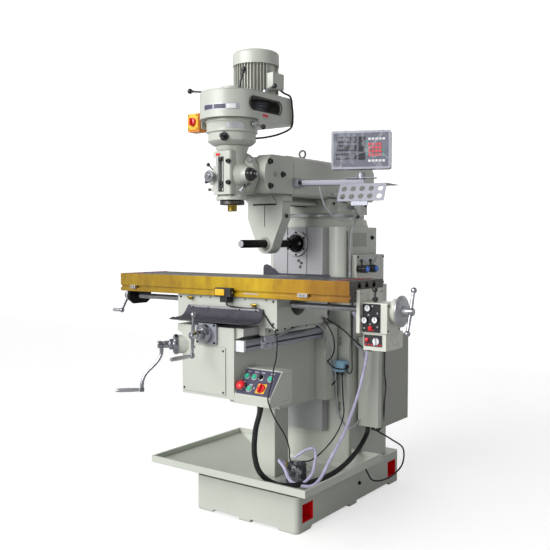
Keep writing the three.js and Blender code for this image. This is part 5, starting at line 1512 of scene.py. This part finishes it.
def power_feed():
    skin("power_feed_box", CREAM, 1.6, "table")
    panel = Build().prism(rounded(704, 788, 990, 1109, 4), "y", -602.2, -600.4)
    panel.done("feed_panel", BLACK, "table", 0.4)
    lower = Build().prism(rounded(708, 792, 930, 978, 3), "y", -594, -592.2)
    lower.done("feed_lower_panel", BLACK_MATT, "table", 0.3)
    faces, needles, rims = Build(), Build(), Build()
    for x, z in ((729, 1096 - 6), (702 + 12, 1039), (757 + 6, 1042)):
        faces.lathe([(0, 0), (13.4, 0), (13.4, 4), (12.6, 4.6), (0, 4.6)], (x, -602, z), (0, -1, 0), 48)
        rims.lathe([(13, 0), (16, 0), (16, 6), (14.6, 7.4), (13, 6.4)], (x, -602, z), (0, -1, 0), 48)
        needles.box(x - 0.8, x + 0.8, -608.6, -606.6, z - 3, z + 10.5)
        for i in range(11):
            a = math.radians(-130 + i * 26)
            c, s = math.sin(a), math.cos(a)
            needles.bar(0.5, 0.5, (x + 10.6 * c, -606.6, z + 10.6 * s), (0, -1, 0), 8)
    faces.done("feed_dial_faces", WHITE, "table", 0.2)
    rims.done("feed_dial_rims", BLACK_MATT, "table", 0.3)
    needles.done("feed_dial_marks", BLACK_MATT, "table")
    red = Build().lathe([(0, 0), (9, 0), (9, 6), (7, 8), (0, 8)], (742, -602, 1008), (0, -1, 0), 36)
    red.prism(rounded(732, 756, 996, 1001, 1, 3), "y", -603, -602)
    red.done("feed_stop_button", RED, "table", 0.4)
    caps = Build()
    for x, z in ((752, 1099), (776, 1070), (734, 1062), (742, 1024), (776, 1014), (714, 1006)):
        caps.lathe([(0, 0), (4, 0), (4, 3), (3, 4), (0, 4)], (x, -602, z), (0, -1, 0), 20)
    caps.done("feed_panel_studs", STEEL, "table", 0.3)
    lamp = Build().lathe([(0, 0), (9, 0), (9, 4), (7, 8), (3, 9.6), (0, 10)], (722, -594, 957), (0, -1, 0),
                         36)
    lamp.done("feed_pilot_lamp", RED, "table", 0.3)
    tags = Build()
    for x in (716, 730, 744, 758, 772, 784):
        tags.prism(rounded(x - 3.4, x + 3.4, 934, 940, 1, 2), "y", -594.8, -594)
    tags.done("feed_blank_tags", RED, "table")
    Build().lathe([(0, 0), (15, 0), (15, 4), (13.6, 5.6), (0, 5.6)], (765, -594.4, 952), (0, -1, 0),
                  40).prism(
        [(761.6, 937), (768.4, 937), (767.4, 967), (762.6, 967)], "y", -611.6, -599).done(
        "feed_selector_knob", WHITE, "feed_switch", 0.5, "feed_selector_switch")
    flange = Build().prism(rounded(-616, -420, 992, 1160, 10), "x", 683, 686)
    flange.done("feed_bracket_gasket", BLACK_MATT, "table", 0.4)
    hex_bolts("feed_bracket_screws", [(701, y, 1152) for y in (-606, -430)] + [(701, -430, 1000)], X, 6,
              "table", STEEL,
              False, 5)
    hex_bolts("feed_box_screws", [(818, y, z) for y in (-588, -492) for z in (998, 1100)], X, 4, "table",
              BLACK_MATT, False,
              2)
    # Table screw, its dials and cranks.
    rod = Build().bar(11, 60, (-745, -535, 1078), X, 40).lathe(thread(11.6, 13.8, 1390, 5),
                                                               (-690, -535, 1078), X, 24)
    rod.bar(13.8, 180, (695, -535, 1078), X, 40)
    rod.lathe([(0, 0), (64, 0), (66, 3), (66, 8), (60, 12), (50, 16), (0, 16)], (846.2, -535, 1078), X, 96)
    rod.lathe([(0, 0), (22, 0), (22, 9), (18, 12), (18, 25), (0, 25)], (861.5, -535, 1078), X, 48)
    rod.lathe([(0, 0), (28, 0), (30, 3), (30, 14), (26, 18), (0, 18)], (-756, -535, 1078), (-1, 0, 0), 48)
    rod.bar(10, 24, (-766, -535, 1078), (-1, 0, 0), 28)
    rod.done("table_screw_rod", STEEL, "table_screw", 0.3, "table_screw")
    marks_round("table_dial_marks", (846.2, -535, 1078), X, 66, 3, 7.4, 100, "table_screw")
    ball_crank("right_crank", (892, -535, 1078), X, (0, 0.31, 0.95), "table_screw", "table_screw")
    ball_crank("left_crank", (-781, -535, 1078), (-1, 0, 0), (0, 0.5, 0.87), "table_screw", "table_screw", 69)
    b = Build().lathe([(0, 0), (11, 0), (11, 14), (8, 19), (0, 19)], (740, -550.4, 1124.5), (0, -1, 0), 32)
    b.tube([(740, -560, 1126), (740, -560, 1142), (740, -560, 1158)], [6, 4.4, 5], 14)
    b.ball(12, (740, -560, 1165), Z, 28, 4)
    b.done("feed_lever_arm", BLACK, "feed_lever", 0.3, "feed_lever")


# ---------- knee stops, junction box, cables ----------
def column_fittings():
    rail = Build().prism(rounded(184, 208, 572, 902, 2), "y", -20, -12)
    rail.box(178, 214, -12, -2, 566, 584).box(178, 214, -12, -2, 890, 908)
    rail.done("knee_stop_rail", ALU, "frame", 0.8)
    # A dark strip on the rail face stands for the slot: painted shadow in place of a cut.
    slot = Build().box(193, 199, -20.2, -19, 590, 886)
    slot.done("knee_stop_slot_shadow", DARK_IRON, "frame", 0.3)
    stops = Build()
    for z in (612, 862):
        stops.prism(rounded(186, 216, z, z + 22, 3), "y", -36, -20)
        stops.bar(4, 8, (201, -36, z + 11), (0, -1, 0), 6)
    stops.done("knee_stop_blocks", STEEL, "frame", 1)
    lo, hi = 218, 284
    box = Build().prism(rounded(lo, hi, 698, 752, 6), "y", -50, -6)
    box.done("junction_box", BLUE, "frame", 2)
    Build().prism(rounded(lo - 1, hi + 1, 697, 753, 6), "y", -58, -50.6).done("junction_box_lid", BLUE,
                                                                              "frame", 1.6)
    hex_bolts("junction_box_screws", [(x, -58, z) for x in (lo + 7, hi - 7) for z in (705, 745)], (0, -1, 0),
              2.6, "frame",
              STEEL, False, 1.4)
    g = Build()
    for x in (236, 262):
        g.lathe([(0, 0), (10, 0), (10, 8), (8, 10), (8, 18), (5, 20), (0, 20)], (x, -30, 698), (0, 0, -1), 24)
    g.lathe([(0, 0), (9, 0), (9, 8), (6, 16), (0, 16)], (284, -30, 726), X, 24)
    g.done("junction_box_glands", BLACK_MATT, "frame", 0.4)
    Build().box(lo + 12, hi - 12, -6, -0.4, 704, 746).done("junction_box_bracket", STEEL, "frame", 0.6)


def cable(name, points, r, mat, body, n=10, steps=8):
    return Build().tube(points, r, n, steps).done(name, mat, body, sharp=60)


def bend(name, points, r, mat, n=10, steps=10):
    """Cable between two neighbouring bodies, built in place and attached to neither."""
    o = Build().tube(points, r, n, steps).done(name, mat, None, sharp=60)
    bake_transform(o)
    return o


def clip(name, at, axis, r, body):
    b = Build().lathe([(r, -4), (r + 2.6, -4), (r + 2.6, 4), (r, 4)], at, axis, 20)
    b.done(name, STEEL, body, 0.3)


def cables():
    # Limit switch lead: along the saddle, down past the control box, into the tray.
    cable("limit_switch_lead", [(42, -693, 1090), (46, -694, 1074), (70, -672, 1066), (128, -662, 1062),
                                (200, -660, 1062),
                                (232, -660, 1040), (262, -660, 1004), (291, -660, 975)], 3.2, CABLE, "saddle")
    clip("limit_lead_clip", (291, -661, 975), (0.7, 0, -0.7), 3.2, "saddle")
    bend("limit_lead_drop", [(291, -660, 975), (305, -662, 935), (322, -690, 860), (334, -726, 812),
                             (344, -752, 764),
                             (352, -792, 700), (356, -786, 660)], 3.2, CABLE)
    bend("limit_lead_tail", [(356, -786, 660), (350, -740, 600), (334, -640, 500), (300, -560, 420),
                             (262, -500, 350),
                             (242, -430, 300), (226, -380, 284), (206, -350, 288)], 3.2, CABLE)
    # Main conduit from the control box through the tray to the cabinet.
    bend("main_conduit", [(244, -700, 626), (236, -702, 590), (212, -700, 510), (204, -694, 400),
                          (214, -660, 310),
                          (236, -560, 238), (290, -460, 222), (330, -350, 226), (345, -230, 236),
                          (342, -100, 258),
                          (338, 20, 300), (336, 96, 352), (336, 110, 384)], 12.5, CABLE,
         14)
    # Junction box leads.
    cable("junction_lead_a", [(262, -30, 680), (266, -34, 640), (276, -44, 560), (290, -60, 480),
                              (284, -110, 400),
                              (262, -190, 330), (240, -280, 290), (206, -320, 284)], 3.4, CABLE, "frame")
    bend("junction_lead_b", [(236, -30, 680), (234, -44, 650), (222, -62, 628), (206, -84, 616),
                             (190, -110, 612)], 3.4,
         CABLE)
    # Scale cable loops on the right of the knee.
    bend("cross_scale_cable", [(222, -566, 926), (232, -520, 938), (236, -440, 952), (236, -340, 966),
                               (238, -240, 958),
                               (240, -170, 920), (240, -120, 850), (238, -80, 780)], 4, GREY_CABLE)
    bend("cross_scale_tail", [(238, -80, 780), (236, -60, 720), (232, -44, 640), (226, -30, 560),
                              (222, -20, 500),
                              (240, -14, 440), (270, -12, 408), (296, -6, 402), (308, 20, 410),
                              (318, 70, 440)], 4,
         GREY_CABLE)
    # Readout lead down the column to the cabinet.
    bend("readout_lead", [(246, -226, 1641), (250, -216, 1596), (256, -184, 1536), (274, -120, 1484),
                          (296, -60, 1472),
                          (310, -10, 1486), (298, 34, 1476), (280, 56, 1454), (268, 60, 1440)], 4.4,
                          GREY_CABLE)
    cable("readout_lead_column", [(268, 60, 1440), (262, 50, 1380), (262, 44, 1300), (262, 44, 1140),
                                  (292, 40, 1120),
                                  (294, 34, 1000), (292, 30, 900), (300, 36, 840), (330, 52, 800),
                                  (342, 58, 760)], 4.4,
          GREY_CABLE, "frame")
    for i, z in enumerate((1360, 1200)):
        clip(f"readout_lead_clip_{i}", (262, 46, z), Z, 4.4, "frame")
    cable("column_lead", [(258, 20, 1420), (256, 24, 1300), (258, 26, 1140), (290, 22, 1118), (291, 18, 980),
                          (293, 14, 860),
                          (300, 4, 760), (306, -8, 700), (296, -28, 690), (284, -30, 726)], 3, CABLE, "frame")
    # Coolant hose from the pump up the column.
    cable("coolant_hose", [(142, -364, 276), (124, -380, 290), (134, -404, 294), (180, -430, 276),
                           (250, -470, 232),
                           (330, -440, 216), (352, -380, 240), (356, -300, 310), (372, -190, 430),
                           (388, -100, 580),
                           (396, -50, 700), (398, -16, 800), (392, 6, 880), (340, 10, 960), (300, 8, 1000)],
                           8, LILAC,
          "frame", 14)
    cable("coolant_hose_coil", [(150, -300, 290), (200, -270, 330), (262, -290, 350), (300, -340, 320),
                                (318, -400, 260),
                                (290, -450, 222), (230, -460, 210)], 7, LILAC, "frame", 14)
    # Leads of the power feed, hung from the saddle and the knee.
    bend("feed_lead_table", [(712, -500, 930), (690, -470, 900), (620, -400, 880), (520, -330, 900),
                             (420, -290, 950),
                             (330, -280, 990), (302, -280, 1000)], 3.4, CABLE)
    clip("feed_lead_clip", (306, -280, 999), X, 3.4, "saddle")
    bend("feed_lead_saddle", [(302, -280, 1000), (310, -250, 960), (318, -210, 900), (300, -170, 830),
                              (262, -140, 780),
                              (228, -118, 760)], 3.4, CABLE)
    bend("feed_lead_knee", [(228, -118, 760), (236, -92, 730), (262, -76, 716), (296, -60, 716),
                            (304, -40, 722),
                            (298, -30, 726)], 3.4, CABLE)
    # Loose leads beside and below the cabinet.
    cable("cabinet_lead", [(440, 96, 860), (444, 90, 780), (446, 84, 700), (448, 96, 620), (444, 90, 540),
                           (440, 92, 470),
                           (430, 100, 410), (400, 110, 384)], 3.4, CABLE, "frame")
    cable("mains_lead", [(366, 110, 384), (372, 160, 360), (400, 260, 300), (426, 340, 240), (430, 330, 160),
                         (424, 240, 120), (410, 140, 112), (392, 60, 130), (384, 20, 180), (380, -2, 214)],
                         4.4, CABLE,
          "frame")
    clip("mains_lead_clip", (380, -2, 214), Z, 4.4, "frame")
    # Motor lead behind the head.
    cable("head_motor_lead", [(118, -380, 2094), (136, -366, 2078), (158, -350, 2062), (161, -340, 2020),
                              (160, -332, 1960),
                              (146, -330, 1916), (112, -380, 1884), (92, -460, 1862), (92, -520, 1852),
                              (80, -528, 1850)],
          4.6, CABLE, "head")
    # Film round the pump.
    bag = Build().lathe([(0, 0), (78, 0), (86, 12), (80, 50), (66, 90), (58, 110), (30, 122), (0, 124)],
                        (190, -332, 184),
                        (0.06, 0.02, 1), 48)
    crumple(bag.done("pump_film", CLEAR_THIN, "frame", 3), 0.01, 0.06, 2)
    loose = [[(222 + 7 * math.sin(i * 0.9 + j * 0.4) + j * 1.2, -118 - 42 * j / 8,
               925 - i * 17 + 4 * math.sin(j))
              for j in range(9)] for i in range(10)]
    sheet("knee_side_film", loose, 0.5, CLEAR_THIN, "knee")


# ---------- stage ----------
def stage():
    lo, hi = start_bounds
    floor = Build()
    pts, faces, n = [], [], 24
    prof = [(-9, 0.0), (4.5, 0.0)] + [(4.5 + 2.5 * math.sin(math.radians(a)),
                                       2.5 - 2.5 * math.cos(math.radians(a)))
                                      for a in range(9, 91, 9)] + [(7.0, 9.0)]
    for y, z in prof:
        pts += [(-14000, y * 1000, z * 1000), (14000, y * 1000, z * 1000)]
    for i in range(len(prof) - 1):
        faces.append((2 * i, 2 * i + 1, 2 * i + 3, 2 * i + 2))
    floor.add(pts, faces)
    mesh = bpy.data.meshes.new("floor")
    floor.bm.to_mesh(mesh)
    floor.bm.free()
    o = bpy.data.objects.new("floor", mesh)
    bpy.context.scene.collection.objects.link(o)
    m, t, b = nodes_of("floor_white")
    b.inputs["Base Color"].default_value = (0.5, 0.5, 0.5, 1)
    b.inputs["Roughness"].default_value = 0.9
    t.links.new(ramp(t, noise_at(t, 0.4, 2), [(0, grey(0.49)), (1, grey(0.51))]), b.inputs["Base Color"])
    eye = t.nodes.new("ShaderNodeLightPath")
    glow = t.nodes.new("ShaderNodeMath")
    glow.operation = "MULTIPLY"
    glow.inputs[1].default_value = 0.62
    t.links.new(eye.outputs["Is Camera Ray"], glow.inputs[0])
    b.inputs["Emission Color"].default_value = (1, 1, 1, 1)
    t.links.new(glow.outputs[0], b.inputs["Emission Strength"])
    o.data.materials.append(m)
    o.data.shade_smooth()
    # White to the camera; as light it is a soft box, darker on the machine's right.
    world = bpy.data.worlds.new("studio")
    bpy.context.scene.world = world
    world.use_nodes = True
    t = world.node_tree
    bg = t.nodes["Background"]
    bg.inputs["Color"].default_value = (1, 1, 1, 1)
    where = t.nodes.new("ShaderNodeTexCoord")
    split = t.nodes.new("ShaderNodeSeparateXYZ")
    t.links.new(where.outputs["Generated"], split.inputs["Vector"])
    side = t.nodes.new("ShaderNodeMapRange")
    for key, value in (("From Min", -0.9), ("From Max", 0.9), ("To Min", 0.62), ("To Max", 0.08)):
        side.inputs[key].default_value = value
    t.links.new(split.outputs["X"], side.inputs["Value"])
    eye = t.nodes.new("ShaderNodeLightPath")
    choose = t.nodes.new("ShaderNodeMix")
    choose.inputs[3].default_value = 1.0
    t.links.new(eye.outputs["Is Camera Ray"], choose.inputs[0])
    t.links.new(side.outputs["Result"], choose.inputs[2])
    t.links.new(choose.outputs[0], bg.inputs["Strength"])

    def area(name, at, aim, size, watts):
        light = bpy.data.lights.new(name, "AREA")
        light.shape, light.size, light.size_y, light.energy = "RECTANGLE", size[0], size[1], watts
        lamp = bpy.data.objects.new(name, light)
        lamp.location = at
        lamp.rotation_euler = (Vector(aim) - Vector(at)).to_track_quat("-Z", "Y").to_euler()
        bpy.context.scene.collection.objects.link(lamp)
    area("key", (-2.6, -4.6, 4.2), (0, -0.3, 1.0), (2.6, 2.6), 110)
    area("fill", (4.4, -1.6, 2.6), (0.2, 0, 1.2), (2.4, 2.4), 20)
    sun = bpy.data.lights.new("front", "SUN")
    sun.energy, sun.angle = 2.2, math.radians(38)
    lamp = bpy.data.objects.new("front", sun)
    lamp.rotation_euler = Vector((0.12, 1.0, -0.34)).to_track_quat("-Z", "Y").to_euler()
    bpy.context.scene.collection.objects.link(lamp)
    scene = bpy.context.scene
    scene.view_settings.view_transform = "Standard"
    scene.view_settings.look = "None"
    scene.view_settings.exposure = 0.0
    cam = bpy.data.cameras.new("camera")
    cam.lens, cam.sensor_width, cam.clip_end = 49.706, 36, 60
    o = bpy.data.objects.new("camera", cam)
    o.location = (2.2774, -3.3765, 1.3743)
    yaw, pitch = math.radians(36.15), math.radians(-2.65)
    ahead = Vector((-math.sin(yaw) * math.cos(pitch), math.cos(yaw) * math.cos(pitch), math.sin(pitch)))
    o.rotation_euler = ahead.to_track_quat("-Z", "Y").to_euler()
    scene.collection.objects.link(o)
    scene.camera = o


for make in (base_and_tray, column, spindle, gear_change, cabinet, pump, turret, ram, arbor_support, readout,
             head, gearing,
             belts, motor, spindle_nose, knee, controls, saddle, table, power_feed, column_fittings, cables,
             stage):
    make()
